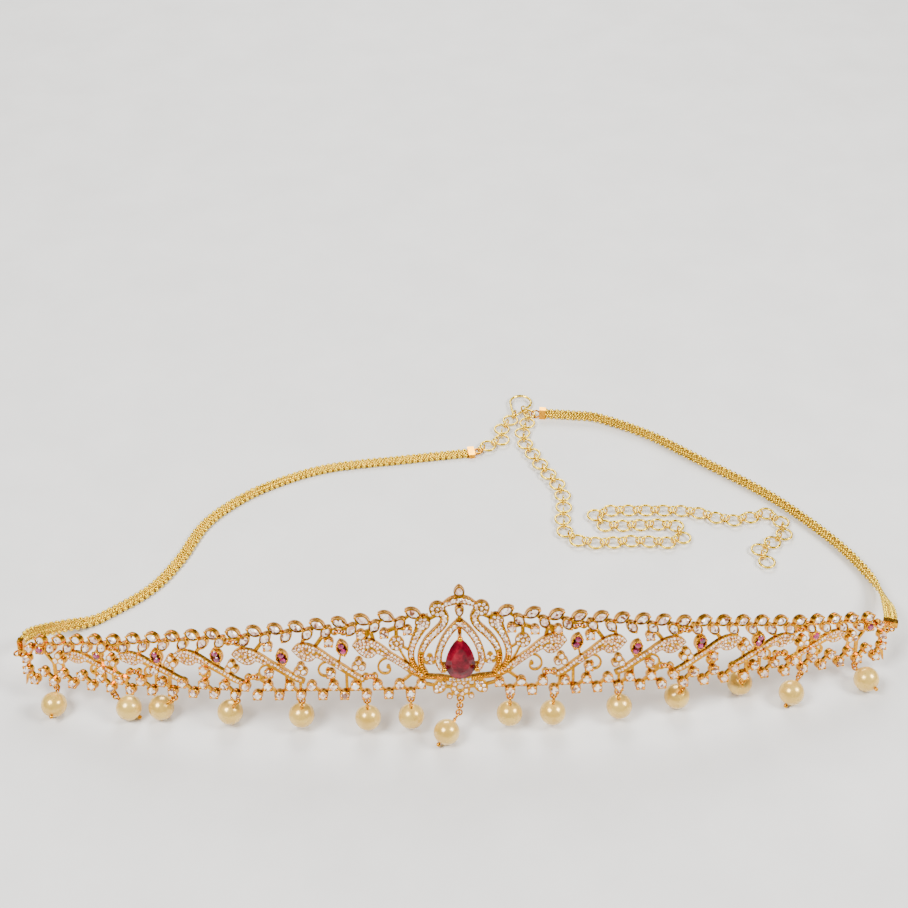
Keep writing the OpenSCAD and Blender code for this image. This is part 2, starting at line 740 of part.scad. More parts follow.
module upper_layer(h) {
    translate([0, 0, plate_t - layer_sink])
        linear_extrude(height = h - plate_t + layer_sink)
            children();
}
// Eyelets for the pearls hang under these stones of the lowest row
pearl_stones = [0, 4, 10, 16, 22, 28, 34];
eyelet_sink = 0.15;
eyelet_v = eyelet_sink - round_cup / 2 - eyelet_d / 2;
module ring_at(c, axis, d, wire) {
    translate(c)
        rotate([0, acos(axis[2] / norm(axis)), atan2(axis[1], axis[0])])
            rotate_extrude($fn = 48)
                translate([d / 2, 0])
                    circle(d = wire, $fn = 24);
}
module pearl_eyelets(k) {
    for (m = pearl_stones)
        if (m >= panels[k][PANEL_LOW] && m <= panels[k][PANEL_LOW_END])
            ring_at([low_s(m), eyelet_v, plate_t / 2], [0, 0, 1], eyelet_d, eyelet_wire);
}
module panel_solid(k) {
    linear_extrude(height = plate_t)
        panel_plate2d(k);
    upper_layer(cup_h)
        panel_cups2d(k);
    upper_layer(leaf_h)
        leaf_relief2d(k);
    pearl_eyelets(k);
}

// Middle panel: both halves, the lotus between them, and the open seat of the ruby
gallery_h = 2.4;
module both_halves2d() {
    children();
    mirror([1, 0])
        children();
}
module stone_ring2d(l, w, grow) {
    difference() {
        pear2d(l + 2 * grow, w + 2 * grow);
        pear2d(l + 2 * grow - 2 * cup_wall, w + 2 * grow - 2 * cup_wall);
    }
}
module ruby_hole2d() {
    translate([0, ruby_v])
        pear2d(ruby_l * gallery_hole, ruby_w * gallery_hole);
}
centre_eye_v = base_ring[1] - base_ring_d / 2 - eyelet_d / 2 + eyelet_sink;
module centre_solid() {
    linear_extrude(height = plate_t)
        difference() {
            union() {
                both_halves2d()
                    panel_plate2d(0);
                lotus_centre2d();
                ruby_setting2d();
            }
            ruby_hole2d();
            translate(base_ring)
                circle(d = base_ring_hole, $fn = 32);
        }
    upper_layer(cup_h) {
        both_halves2d()
            panel_cups2d(0);
        translate(crown_stone)
            stone_ring2d(crown_stone_l, crown_stone_w, -cup_inset);
        translate(drop_stone)
            rotate(180)
                stone_ring2d(drop_stone_l, drop_stone_w, -cup_inset);
    }
    upper_layer(leaf_h)
        both_halves2d() {
            leaf_relief2d(0);
            lotus_runs2d(-cup_inset);
        }
    upper_layer(gallery_h)
        difference() {
            translate([0, ruby_v])
                pear2d(ruby_l * gallery_share - 2 * cup_inset, ruby_w * gallery_share - 2 * cup_inset);
            ruby_hole2d();
        }
    ruby_prongs();
    for (s = [-1, 1])
        ring_at([s * low_s(0), eyelet_v, plate_t / 2], [0, 0, 1], eyelet_d, eyelet_wire);
    ring_at([0, centre_eye_v, plate_t / 2], [0, 0, 1], eyelet_d, eyelet_wire);
}

// Rings that join the panels: each passes through two facing eyelets
module panel_ring(side, k, p) {
    a = belt_point(side, k, p[0] - joint_ring_d / 2, p[1], plate_t / 2);
    b = belt_point(side, k + 1, p[0] + joint_ring_d / 2, p[1], plate_t / 2);
    up = belt_point(side, k, p[0], p[1] + 1, 0) - belt_point(side, k, p[0], p[1], 0);
    e = unit(b - a);
    ring_at((a + b) / 2, up - (up * e) * e, norm(b - a), joint_ring_wire);
}

// Cut stones: a table, a crown, a girdle and a pavilion on a given outline
function ring3(p, share, z) = [for (q = p) [q[0] * share, q[1] * share, z]];
module cut_stone(outline, depth, girdle, crown, table) {
    n = len(outline);
    polyhedron(
        points = concat(
            [[0, 0, -depth]],
            ring3(outline, 1, 0),
            ring3(outline, 1, girdle),
            ring3(outline, table, girdle + crown)
        ),
        faces = concat(
            [for (i = [0:n - 1]) [0, 1 + i, 1 + (i + 1) % n]],
            [for (r = [0, 1], i = [0:n - 1])
                let (a = 1 + r * n + i, b = 1 + r * n + (i + 1) % n) [a, a + n, b + n, b]],
            [[for (i = [n - 1:-1:0]) 1 + 2 * n + i]]
        )
    );
}
lens_shape = [[0.5, 0], [0.29, 0.31], [0, 0.5], [-0.29, 0.31], [-0.5, 0], [-0.29, -0.31], [0, -0.5], [0.29, -0.31]];
row_depth = 0.7;
row_girdle = 0.14;
row_crown = 0.55;
row_table = 0.58;
stone_in = cup_inset + cup_wall + stone_fit;
module row_stone(l, w) {
    translate([0, 0, plate_t + row_depth + 0.08])
        cut_stone([for (q = lens_shape) [q[0] * (l - 2 * stone_in), q[1] * (w - 1.4 * stone_in)]],
            row_depth, row_girdle, row_crown, row_table);
}
module top_row(k) {
    for (i = [panels[k][PANEL_TOP]:panels[k][PANEL_TOP_END]])
        translate(top_point(i))
            rotate(top_tilt)
                row_stone(top_l(i), top_cup_w);
}
module second_row(k) {
    for (i = [panels[k][PANEL_TOP]:panels[k][PANEL_TOP_END]])
        if (i > 0)
            translate(second_point(i - 1))
                rotate(-second_tilt)
                    row_stone(second_cup_l, second_cup_w);
}
module finial_stone(l, w) {
    stone_l = l - 2 * stone_in;
    stone_w = w - 2 * stone_in;
    translate([0, 0, plate_t + row_depth + 0.08])
        cut_stone(pear_outline(stone_l, stone_w, 12), row_depth, row_girdle, row_crown, row_table);
}
ruby_depth = 2.6;
ruby_girdle = 0.3;
ruby_crown = 1.25;
ruby_table = 0.6;
ruby_steps = 20;

// Pearls: each hangs on a head pin from its eyelet, and leans until it rests on the table.
// Columns: side, stone of the lowest row, direction of the lean, length from the eye to the pearl
PIN_SIDE = 0;
PIN_STONE = 1;
PIN_TURN = 2;
PIN_LENGTH = 3;
pins = [
    [-1, 34, -93, 5.5], [-1, 28, -25, 5.6], [-1, 22, 158, 7.2], [-1, 16, 138, 7.3],
    [-1, 10, 114, 6.7], [-1, 4, 76, 6.7], [-1, 0, 35, 6.7],
    [1, 0, -133, 5.9],
    [1, 0, -155, 6.7], [1, 4, 129, 6.7], [1, 10, 48, 6.7],
    [1, 16, 98, 7.2], [1, 22, 82, 7.4], [1, 28, -125, 5.6], [1, 34, -60, 5.5]
];
centre_pin = 7;
pin_foot = pearl_d / 2 + pin_ball * 0.43;
function panel_of(m) = [for (k = [0:last_panel]) if (m >= panels[k][PANEL_LOW] && m <= panels[k][PANEL_LOW_END]) k][0];
// The links that carry the middle pearl, from the eyelet under the lotus towards drop_end
drop_links = 4;
drop_link_d = 1.8;
drop_wire = 0.5;
drop_pitch = 1.2;
drop_end = [-0.6, -3.7, 7.3];
drop_hang = 0.3;
drop_top = belt_point(1, 0, 0, centre_eye_v, plate_t / 2);
drop_dir = unit(drop_end - drop_top);
function drop_link_at(i) = drop_top + (i + 1) * drop_pitch * drop_dir;
drop_cross = unit(cross(drop_dir, [1, 0, 0]));
drop_side = cross(drop_cross, drop_dir);

// Hanging point of a pin, the way down from it, and the way along the strip
function pin_hole(i) =
    i == centre_pin ? drop_link_at(drop_links - 1) + drop_hang * drop_dir :
        let (m = pins[i][PIN_STONE])
        belt_point(pins[i][PIN_SIDE], panel_of(m), low_s(m), eyelet_v, plate_t / 2);
function pin_down(i) =
    i == centre_pin ? drop_dir :
        let (m = pins[i][PIN_STONE], side = pins[i][PIN_SIDE], k = panel_of(m))
        belt_point(side, k, low_s(m), -1, 0) - belt_point(side, k, low_s(m), 0, 0);
function pin_along(i) =
    i == centre_pin ? drop_side :
        let (m = pins[i][PIN_STONE], side = pins[i][PIN_SIDE], k = panel_of(m))
        belt_point(side, k, low_s(m) + 1, 0, 0) - belt_point(side, k, low_s(m), 0, 0);
// Direction of the pin whose eye stands at height z
function pin_dir(i, z) =
    let (
        l = pins[i][PIN_LENGTH],
        c = min(1, (z - pearl_d / 2) / l, (z - pin_ball / 2) / (l + pin_foot)),
        a = pins[i][PIN_TURN],
        r = sqrt(max(0, 1 - c * c))
    ) [r * cos(a), r * sin(a), -c];
function pin_axis(i, u) = unit(pin_along(i) - (pin_along(i) * u) * u);
function pin_eye_at(i, u) =
    let (n = pin_axis(i, u), d = pin_down(i))
    pin_hole(i) + pin_eye / 2 * unit(d - (d * n) * n);
function pin_solve(i, u, left) =
    left == 0 ? [pin_eye_at(i, u), u] : pin_solve(i, pin_dir(i, pin_eye_at(i, u)[2]), left - 1);
pin_rounds = 5;
function pin_of(i) = pin_solve(i, [0, 0, -1], pin_rounds);
function pearl_at(i) = let (q = pin_of(i)) q[0] + pins[i][PIN_LENGTH] * q[1];
module along(p, u) {
    translate(p)
        rotate([0, acos(u[2]), atan2(u[1], u[0])])
            children();
}
module pearl(i) {
    u = pin_of(i)[1];
    along(pearl_at(i), u)
        difference() {
            sphere(d = pearl_d, $fn = 64);
            cylinder(d = pearl_bore, h = pearl_d + 2, center = true, $fn = 24);
        }
}
stem_wire = pin_wire - 0.06;
module head_pin(i) {
    u = pin_of(i)[1];
    ring_at(pin_of(i)[0], pin_axis(i, u), pin_eye, pin_wire);
    along(pin_of(i)[0] + pin_eye / 2 * u, u) {
        cylinder(d = stem_wire, h = pins[i][PIN_LENGTH] - pin_eye / 2 + pin_foot, $fn = 24);
        translate([0, 0, pins[i][PIN_LENGTH] - pin_eye / 2 + pin_foot])
            sphere(d = pin_ball, $fn = 24);
    }
}

// Woven bands: a flat section carried along a route. Columns: x, y, z, roll (0 flat, 90 on edge)
band_flat_z = band_t / 2 + 0.05;
band_edge_z = band_w / 2 + 0.05;
left_route = [
    [-136.2, 32.6, 9.9, 80], [-133, 36.9, 6.9, 60], [-127, 41.5, 3.8, 30], [-117, 47.3, band_flat_z, 0],
    [-102, 59.6, band_flat_z, 0], [-93.5, 73.5, band_flat_z, 0], [-86.4, 90.6, band_flat_z, 0],
    [-75, 103.2, band_flat_z, 0], [-61, 112.3, band_flat_z, 0], [-43, 119.3, band_flat_z, 0],
    [-17.3, 122.7, band_flat_z, 0], [-4.6, 124.3, band_flat_z, 0], [7.9, 125.7, band_flat_z, 0]
];
right_route = [
    [142, 37.5, 7, 20], [142.6, 46, 4, 60], [141, 56, band_edge_z, 90], [134.2, 70.6, band_edge_z, 90],
    [123.5, 86.3, band_edge_z, 90], [112, 99.8, band_edge_z, 90], [93, 117, band_edge_z, 90],
    [76.4, 131.8, band_edge_z, 90], [58.8, 142.4, band_edge_z, 90],
    [49, 144.5, band_edge_z, 90], [38.5, 145.95, band_edge_z, 90]
];
band_steps = 5;
cap_gap = 0.06;
band_corner = 0.35;
loop_d = eyelet_d;
loop_pitch = 1.7;
// Joint of a band with the end panel: the joint ring's centre, and the cap's direction
function end_hole(side) = belt_point(side, last_panel, end_eye[0], end_eye[1], plate_t / 2);
function end_along(side) =
    belt_point(side, last_panel, end_eye[0] + 1, end_eye[1], plate_t / 2) - end_hole(side);
function end_ring_at(side) = end_hole(side) + joint_ring_d / 2 * end_along(side);
// The caps and routes are drawn for joint rings at this place on both sides, and follow them
drawn_ring = [137.51, 21.53, 13.14];
function drawn_at(side) = [side * drawn_ring[0], drawn_ring[1], drawn_ring[2]];
left_cap_aim = [-137.27, 28.86, 11.6];
right_cap_aim = [140.17, 29.46, 10.7];
function cap_dir(side) = unit((side < 0 ? left_cap_aim : right_cap_aim) - drawn_at(side));
function cap_loop_at(side) = end_ring_at(side) + loop_pitch * cap_dir(side);
cap_sink = 0.2;
function cap_start(side) = cap_loop_at(side) + (loop_d / 2 + 0.05) * cap_dir(side);
loop_wire = 0.6;
function cap_end(side, more) = cap_start(side) + (cap_l + cap_gap + more) * cap_dir(side);
function with_roll(p, r) = [p[0], p[1], p[2], r];
// Points of the straight stretch of a band in front of its cap
lead_in = [0, 1, 3];
// The routes move with the rings, less and less towards the back
route_back = 120;
function follow_ring(side, route) =
    let (move = end_ring_at(side) - drawn_at(side)) [
        for (p = route)
            let (share = max(0, (route_back - p[1]) / (route_back - drawn_ring[1])))
            [p[0] + share * move[0], p[1] + share * move[1], p[2], p[3]]
    ];
// A band never dips into the table, whatever its roll
function band_half(roll) = abs(sin(roll)) * band_w / 2 + abs(cos(roll)) * band_t / 2;
function lifted(line) = [for (p = line) [p[0], p[1], max(p[2], band_half(p[3]) + 0.05), p[3]]];
left_line = lifted(smooth_open(
    concat([for (q = lead_in) with_roll(cap_end(-1, q), 90)], follow_ring(-1, left_route)), band_steps));
right_line = lifted(smooth_open(
    concat([for (q = lead_in) with_roll(cap_end(1, q), 0)], follow_ring(1, right_route)), band_steps));

// Section of the sweep at point i of a line: side and up vectors turned by the roll
function xyz(p) = [p[0], p[1], p[2]];
function line_dir(p, i) = unit(xyz(p[min(i + 1, len(p) - 1)]) - xyz(p[max(i - 1, 0)]));
function level_side(t) = unit([-t[1], t[0], 0]);
function section_side(t, roll) = cos(roll) * level_side(t) + sin(roll) * cross(t, level_side(t));
function section_up(t, roll) = cross(t, section_side(t, roll));
function flat_section(w, h, c) = [
    [w / 2, h / 2 - c], [w / 2 - c, h / 2], [c - w / 2, h / 2], [-w / 2, h / 2 - c],
    [-w / 2, c - h / 2], [c - w / 2, -h / 2], [w / 2 - c, -h / 2], [w / 2, c - h / 2]
];
function round_section(d, n) = [for (i = [0:n - 1]) d / 2 * [cos(360 * i / n), sin(360 * i / n)]];
module sweep(line, section) {
    n = len(section);
    m = len(line);
    polyhedron(
        points = [
            for (i = [0:m - 1])
                let (t = line_dir(line, i), a = section_side(t, line[i][3]), b = section_up(t, line[i][3]))
                for (q = section) xyz(line[i]) + q[0] * a + q[1] * b
        ],
        faces = concat(
            [[for (j = [0:n - 1]) j]],
            [for (i = [0:m - 2], j = [0:n - 1], half = [0, 1])
                let (a = i * n + j, b = i * n + (j + 1) % n) half == 0 ? [a, a + n, b + n] : [a, b + n, b]],
            [[for (j = [n - 1:-1:0]) (m - 1) * n + j]]
        )
    );
}
// Block with its length along d, its width along w
module block_at(p, d, w, size) {
    e = cross(d, w);
    multmatrix([
        [d[0], w[0], e[0], p[0]],
        [d[1], w[1], e[1], p[1]],
        [d[2], w[2], e[2], p[2]],
        [0, 0, 0, 1]
    ])
        translate([0, -size[1] / 2, -size[2] / 2])
            cube(size);
}
module start_cap(side, roll) {
    d = cap_dir(side);
    a = end_along(side);
    block_at(cap_start(side), d, section_side(d, roll), [cap_l, band_w + 0.3, cap_t]);
    ring_at(cap_loop_at(side), a - (a * d) * d, loop_d, loop_wire);
}
module start_ring(side) {
    ring_at(end_ring_at(side), cross(end_along(side), cap_dir(side)), joint_ring_d, joint_ring_wire);
}

// Tail caps: the left one ends in a flat ring, the right one in an upright ring
flat_z = 1.3;
small_z = small_d / 2 + small_wire / 2;
ring_pitch = ring_d + ring_wire + ring_gap;
wire_apart = (ring_wire + ring_gap) / 2;
left_tail = xyz(left_line[len(left_line) - 1]);
left_tail_dir = line_dir(left_line, len(left_line) - 1);
right_tail = xyz(right_line[len(right_line) - 1]);
right_tail_dir = line_dir(right_line, len(right_line) - 1);
tail_loop_d = 2.6;
tail_z = cap_t / 2;
left_loop = [left_tail[0], left_tail[1], 0] + (cap_gap + cap_l + tail_loop_d / 2) * left_tail_dir + [0, 0, flat_z];
right_loop = [right_tail[0], right_tail[1], 0] + (cap_gap + cap_l + small_d / 2 - cap_sink) * right_tail_dir + [0, 0, small_z];
module left_tail_cap() {
    block_at([left_tail[0], left_tail[1], tail_z] + cap_gap * left_tail_dir, left_tail_dir, level_side(left_tail_dir),
        [cap_l, band_w + 0.3, cap_t]);
    ring_at(left_loop, [0, 0, 1], tail_loop_d, ring_wire);
}
module right_tail_cap() {
    block_at(right_tail + cap_gap * right_tail_dir, right_tail_dir, section_side(right_tail_dir, 90),
        [cap_l, band_w + 0.1, cap_t]);
    ring_at(right_loop, level_side(right_tail_dir), small_d, small_wire);
}

// Chains: flat large rings at an even pitch along a route, an upright small ring between each pair
function step_point(a, b, c, d) =
    let (e = b - a, f = a - c, g = e * e, h = e * f, k = f * f - d * d)
    a + e * (-h + sqrt(max(0, h * h - g * k))) / g;
function next_hit(r, c, i, d) =
    i >= len(r) ? undef :
        norm(r[i] - c) >= d ? [step_point(r[i - 1], r[i], c, d), i] : next_hit(r, c, i + 1, d);
function ring_run(r, c, i, d) =
    let (q = next_hit(r, c, i, d))
    q == undef ? [c] : concat([c], ring_run(r, q[0], q[1], d));
module small_ring_between(a, b, ra, rb) {
    d = unit(b - a);
    p = mix(a + ra * d, b - rb * d, 0.5);
    ring_at([p[0], p[1], small_z], [-d[1], d[0], 0], small_d, small_wire);
}
module ring_chain(c) {
    for (p = c)
        ring_at([p[0], p[1], flat_z], [0, 0, 1], ring_d, ring_wire);
    for (i = [1:len(c) - 1])
        small_ring_between(c[i - 1], c[i], ring_d / 2, ring_d / 2);
}
function step_to(a, b, d) = a + d * unit(b - a);

// Closed wire lying flat, swept along a ring of points
module closed_sweep(p, section) {
    n = len(section);
    m = len(p);
    polyhedron(
        points = [
            for (i = [0:m - 1])
                let (t = unit(p[(i + 1) % m] - p[(i + m - 1) % m]), a = [-t[1], t[0]])
                for (q = section) [p[i][0] + q[0] * a[0], p[i][1] + q[0] * a[1], q[1]]
        ],
        faces = [for (i = [0:m - 1], j = [0:n - 1])
            let (a = i * n + j, b = i * n + (j + 1) % n, c = ((i + 1) % m) * n) [a, c + j, c + (j + 1) % n, b]]
    );
}

// Rings between the left band and the hook, and the ring that joins the right band
hook_ring_first = step_to([left_loop[0], left_loop[1]], [17.5, 130.5], (tail_loop_d + ring_d) / 2 + 2 * wire_apart);
hook_chain_route = [hook_ring_first, [20.9, 132.25], [21.25, 138.48], [25.2, 143.96]];
hook_rings = ring_run(hook_chain_route, hook_ring_first, 1, ring_pitch);
clasp_at = step_to([right_loop[0], right_loop[1]], [32.4, 147.2], clasp_d / 2 + wire_apart);
extension_first = step_to(clasp_at, [31.2, 142.1], (clasp_d + ring_d) / 2 + 2 * wire_apart);
extension_route = [
    extension_first, [29, 136.8], [29.3, 130.5], [31.5, 124.8], [35.5, 115], [39.5, 107], [41, 100],
    [40.5, 92], [39.5, 84], [43, 78], [50, 76], [58, 76], [66, 76.5], [73, 75], [79.5, 76.5],
    [82.5, 80], [79, 83.6], [72, 84.4], [62, 84.2], [53.5, 84.6], [50.4, 88], [54, 91.6], [62, 92],
    [75, 91.5], [86, 90.5], [93, 87.5], [100, 85.5], [107, 87], [113.5, 88.5], [116.5, 84.5], [117, 80.5],
    [115, 74.5], [108.5, 73.5], [106, 68], [109.6, 62.4]
];
extension_line = smooth_open(extension_route, 4);
extension_rings = ring_run(extension_line, extension_first, 1, ring_pitch);

// Hook: a closed loop of wire with a wide bow and a narrow foot. The foot stands off the last
// ring of its chain, and one straight side stands off the ring of the right band
hook_turn = -20;
hook_wire = 0.9;
hook_foot_r = 1;
hook_steps = 12;
hook_span = hook_l - hook_foot_r;
hook_slope = asin((bow_d / 2 - hook_foot_r) / hook_span);
hook_apart = (ring_wire + hook_wire) / 2 + ring_gap;
hook_side = turn2([cos(hook_slope), -sin(hook_slope)], hook_turn);
hook_last = hook_rings[len(hook_rings) - 1];
hook_reach = ring_d / 2 + hook_apart + hook_foot_r;
hook_share = ((clasp_at - hook_last) * hook_side - hook_foot_r - clasp_d / 2 - hook_apart) / hook_reach;
hook_foot = hook_last + hook_reach * (hook_share * hook_side + sqrt(1 - hook_share * hook_share) * turn2(hook_side, 90));
hook_bow = hook_foot + turn2([0, hook_span], hook_turn);
hook_outline = concat(
    [for (i = [0:hook_steps]) let (a = mix(-hook_slope, 180 + hook_slope, i / hook_steps))
        bow_d / 2 * [cos(a), sin(a)]],
    [for (i = [0:hook_steps / 2]) let (a = mix(180 + hook_slope, 360 - hook_slope, i / (hook_steps / 2)))
        [0, -hook_span] + hook_foot_r * [cos(a), sin(a)]]
);
function hook_point(p) = hook_bow + turn2(p, hook_turn);

// Middle of the whole belt on the table: it becomes the origin
belt_mid = [2.64, 74.1];
module placed() {
    translate([-belt_mid[0], -belt_mid[1], 0])
        children();
}

module centre_panel() {
    color(gold)
        placed()
            on_panel(1, 0)
                centre_solid();
}

module inner_panel_right() {
    color(gold)
        placed()
            on_panel(1, 1)
                panel_solid(1);
}

module inner_panel_left() {
    color(gold)
        placed()
            on_panel(-1, 1)
                panel_solid(1);
}

module middle_panel_right() {
    color(gold)
        placed()
            on_panel(1, 2)
                panel_solid(2);
}

module middle_panel_left() {
    color(gold)
        placed()
            on_panel(-1, 2)
                panel_solid(2);
}

module end_panel_right() {
    color(gold)
        placed()
            on_panel(1, 3)
                panel_solid(3);
}

module end_panel_left() {
    color(gold)
        placed()
            on_panel(-1, 3)
                panel_solid(3);
}

module panel_rings() {
    color(gold)
        placed()
            for (side = [-1, 1], k = [0:last_panel - 1], p = [joint_top(k), joint_low(k)])
                panel_ring(side, k, p);
}

module ruby() {
    color(ruby_red)
        placed()
            on_panel(1, 0)
                translate([0, ruby_v, ruby_seat])
                    cut_stone(pear_outline(ruby_l, ruby_w, ruby_steps), ruby_depth, ruby_girdle, ruby_crown, ruby_table);
}

module finial_stones() {
    color(clear_pink)
        placed() {
            on_panel(1, 0)
                translate(crown_stone)
                    finial_stone(crown_stone_l, crown_stone_w);
            on_panel(1, 0)
                translate(drop_stone)
                    rotate(180)
                        finial_stone(drop_stone_l, drop_stone_w);
        }
}

module top_row_stones() {
    color(clear_pink)
        placed()
            for (side = [-1, 1], k = [0:last_panel])
                on_panel(side, k)
                    top_row(k);
}

module second_row_stones() {
    color(clear_pink)
        placed()
            for (side = [-1, 1], k = [0:last_panel])
                on_panel(side, k)
                    second_row(k);
}

module pearl_1() {
    color(pearl_cream)
        placed()
            pearl(0);
}

module pearl_2() {
    color(pearl_cream)
        placed()
            pearl(1);
}

module pearl_3() {
    color(pearl_cream)
        placed()
            pearl(2);
}

module pearl_4() {
    color(pearl_cream)
        placed()
            pearl(3);
}

module pearl_5() {
    color(pearl_cream)
        placed()
            pearl(4);
}

module pearl_6() {
    color(pearl_cream)
        placed()
            pearl(5);
}

module pearl_7() {
    color(pearl_cream)
        placed()
            pearl(6);
}

module pearl_8() {
    color(pearl_cream)
        placed()
            pearl(7);
}

module pearl_9() {
    color(pearl_cream)
        placed()
            pearl(8);
}

module pearl_10() {
    color(pearl_cream)
        placed()
            pearl(9);
}

module pearl_11() {
    color(pearl_cream)
        placed()
            pearl(10);
}

module pearl_12() {
    color(pearl_cream)
        placed()
            pearl(11);
}

module pearl_13() {
    color(pearl_cream)
        placed()
            pearl(12);
}

module pearl_14() {
    color(pearl_cream)
        placed()
            pearl(13);
}

module pearl_15() {
    color(pearl_cream)
        placed()
            pearl(14);
}

module head_pin_1() {
    color(gold)
        placed()
            head_pin(0);
}

module head_pin_2() {
    color(gold)
        placed()
            head_pin(1);
}

module head_pin_3() {
    color(gold)
        placed()
            head_pin(2);
}

module head_pin_4() {
    color(gold)
        placed()
            head_pin(3);
}

module head_pin_5() {
    color(gold)
        placed()
            head_pin(4);
}

module head_pin_6() {
    color(gold)
        placed()
            head_pin(5);
}

module head_pin_7() {
    color(gold)
        placed()
            head_pin(6);
}

module head_pin_8() {
    color(gold)
        placed()
            head_pin(7);
}

module head_pin_9() {
    color(gold)
        placed()
            head_pin(8);
}

module head_pin_10() {
    color(gold)
        placed()
            head_pin(9);
}

module head_pin_11() {
    color(gold)
        placed()
            head_pin(10);
}

module head_pin_12() {
    color(gold)
        placed()
            head_pin(11);
}

module head_pin_13() {
    color(gold)
        placed()
            head_pin(12);
}

module head_pin_14() {
    color(gold)
        placed()
            head_pin(13);
}

module head_pin_15() {
    color(gold)
        placed()
            head_pin(14);
}

module centre_drop_links() {
    color(gold)
        placed()
            for (i = [0:drop_links - 1])
                ring_at(drop_link_at(i), i % 2 == 0 ? drop_side : drop_cross, drop_link_d, drop_wire);
}

module left_band() {
    color(pale_gold)
        placed()
            sweep(left_line, flat_section(band_w, band_t, band_corner));
}

module right_band() {
    color(pale_gold)
        placed()
            sweep(right_line, flat_section(band_w, band_t, band_corner));
}

module left_band_caps() {
    color(gold)
        placed() {
            start_cap(-1, 90);
            start_ring(-1);
            left_tail_cap();
        }
}

module right_band_caps() {
    color(gold)
        placed() {
            start_cap(1, 0);
            start_ring(1);
            right_tail_cap();
        }
}

module hook() {
    color(pale_gold)
        placed()
            translate([0, 0, flat_z])
                closed_sweep([for (q = hook_outline) hook_point(q)], round_section(hook_wire, 12));
}

module hook_chain() {
    color(pale_gold)
        placed() {
            ring_chain(hook_rings);
            small_ring_between([left_loop[0], left_loop[1]], hook_rings[0], tail_loop_d / 2, ring_d / 2);
            ring_at([clasp_at[0], clasp_at[1], flat_z], [0, 0, 1], clasp_d, ring_wire);
            small_ring_between(clasp_at, clasp_at - (clasp_d / 2 + hook_apart) * hook_side, clasp_d / 2, 0);
            small_ring_between(hook_last, hook_foot, ring_d / 2, hook_foot_r);
        }
}

module extension_chain() {
    color(pale_gold)
        placed() {
            ring_chain(extension_rings);
            small_ring_between(clasp_at, extension_rings[0], clasp_d / 2, ring_d / 2);
        }
}

centre_panel();
inner_panel_right();
inner_panel_left();
middle_panel_right();
middle_panel_left();
end_panel_right();
end_panel_left();
panel_rings();
ruby();
finial_stones();
top_row_stones();
second_row_stones();
pearl_1();
pearl_2();
pearl_3();
pearl_4();
pearl_5();
pearl_6();
pearl_7();
pearl_8();
pearl_9();
pearl_10();
pearl_11();
pearl_12();
pearl_13();
pearl_14();
pearl_15();
head_pin_1();
head_pin_2();
head_pin_3();
head_pin_4();
head_pin_5();
head_pin_6();
head_pin_7();
head_pin_8();
head_pin_9();
head_pin_10();
head_pin_11();
head_pin_12();
head_pin_13();
head_pin_14();
head_pin_15();
centre_drop_links();
left_band();
right_band();
left_band_caps();
right_band_caps();
hook();
hook_chain();
extension_chain();
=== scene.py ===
# Jewelled waist belt on a table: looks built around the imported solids, in metres
import math

import bpy
from mathutils import Matrix, Vector


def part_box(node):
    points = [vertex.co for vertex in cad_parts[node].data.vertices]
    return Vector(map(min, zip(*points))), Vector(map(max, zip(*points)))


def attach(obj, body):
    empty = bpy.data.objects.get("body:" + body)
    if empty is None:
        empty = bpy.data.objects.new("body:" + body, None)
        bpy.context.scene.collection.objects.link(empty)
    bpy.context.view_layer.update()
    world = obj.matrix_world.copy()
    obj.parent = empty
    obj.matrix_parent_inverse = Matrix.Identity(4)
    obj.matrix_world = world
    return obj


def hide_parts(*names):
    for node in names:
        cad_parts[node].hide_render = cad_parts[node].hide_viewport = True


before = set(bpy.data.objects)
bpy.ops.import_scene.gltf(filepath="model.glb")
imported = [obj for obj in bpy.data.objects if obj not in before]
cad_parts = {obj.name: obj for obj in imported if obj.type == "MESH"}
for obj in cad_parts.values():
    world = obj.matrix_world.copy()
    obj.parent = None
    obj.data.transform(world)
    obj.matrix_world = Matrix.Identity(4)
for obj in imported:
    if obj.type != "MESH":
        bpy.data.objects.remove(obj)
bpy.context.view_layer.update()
mm = 0.001
print("frame loaded")

# Sizes of the front strip, in millimetres and degrees, as the solids have them
strip = {
    # one value for each panel, from the middle out
    "hinges": (0, 31, 65.4, 103.3),
    "turns": (0, 3, 11.5, 18.5),
    "droops": (0, 0, 0.75, 1.25),
    "lean": 23,
    "lift": 15,
    # middle of the belt on the table, which is the frame's origin
    "beltMid": (2.64, 74.1),
    "heightCentre": 26.2,
    "heightEnd": 13.6,
    "topFirst": 13.8,
    "topPitch": 6.3,
    "topSpread": 3.6,
    "topTilt": 24,
    "topLengths": (5.6, 4.2),
    "secondLength": 4.7,
    "secondTilt": -54,
    "secondDrop": 2.7,
    "secondShift": 0.8,
    "lowFirst": 15.1,
    "lowPitch": 6.62,
    "lowStart": -1,
    "lowRise": 3,
    # last stone of each panel in the top row and in the lowest one
    "lastStones": ((3, 3), (8, 14), (14, 25), (18, 36)),
    "leafFirst": 32.2,
    "leafPitch": 18.2,
    "leafLength": 21.8,
    "leafRise": 12,
    # height of a leaf's tip as a share of the strip's, and the panel of each leaf
    "leafShare": 0.67,
    "leafPanels": (0, 1, 1, 2, 2, 3),
}
topLast = strip["lastStones"][-1][0]
lowLast = strip["lastStones"][-1][1]


def turned(axis, degrees):
    return Matrix.Rotation(math.radians(degrees), 4, axis)


# Hinge point of panel k, before the front leans back
def panelStart(k):
    point = Vector((0, 0, 0))
    for j in range(k):
        step = Vector((strip["hinges"][j + 1] - strip["hinges"][j], 0, 0))
        point += turned("Z", strip["turns"][j]) @ turned("Y", strip["droops"][j]) @ step
    return point


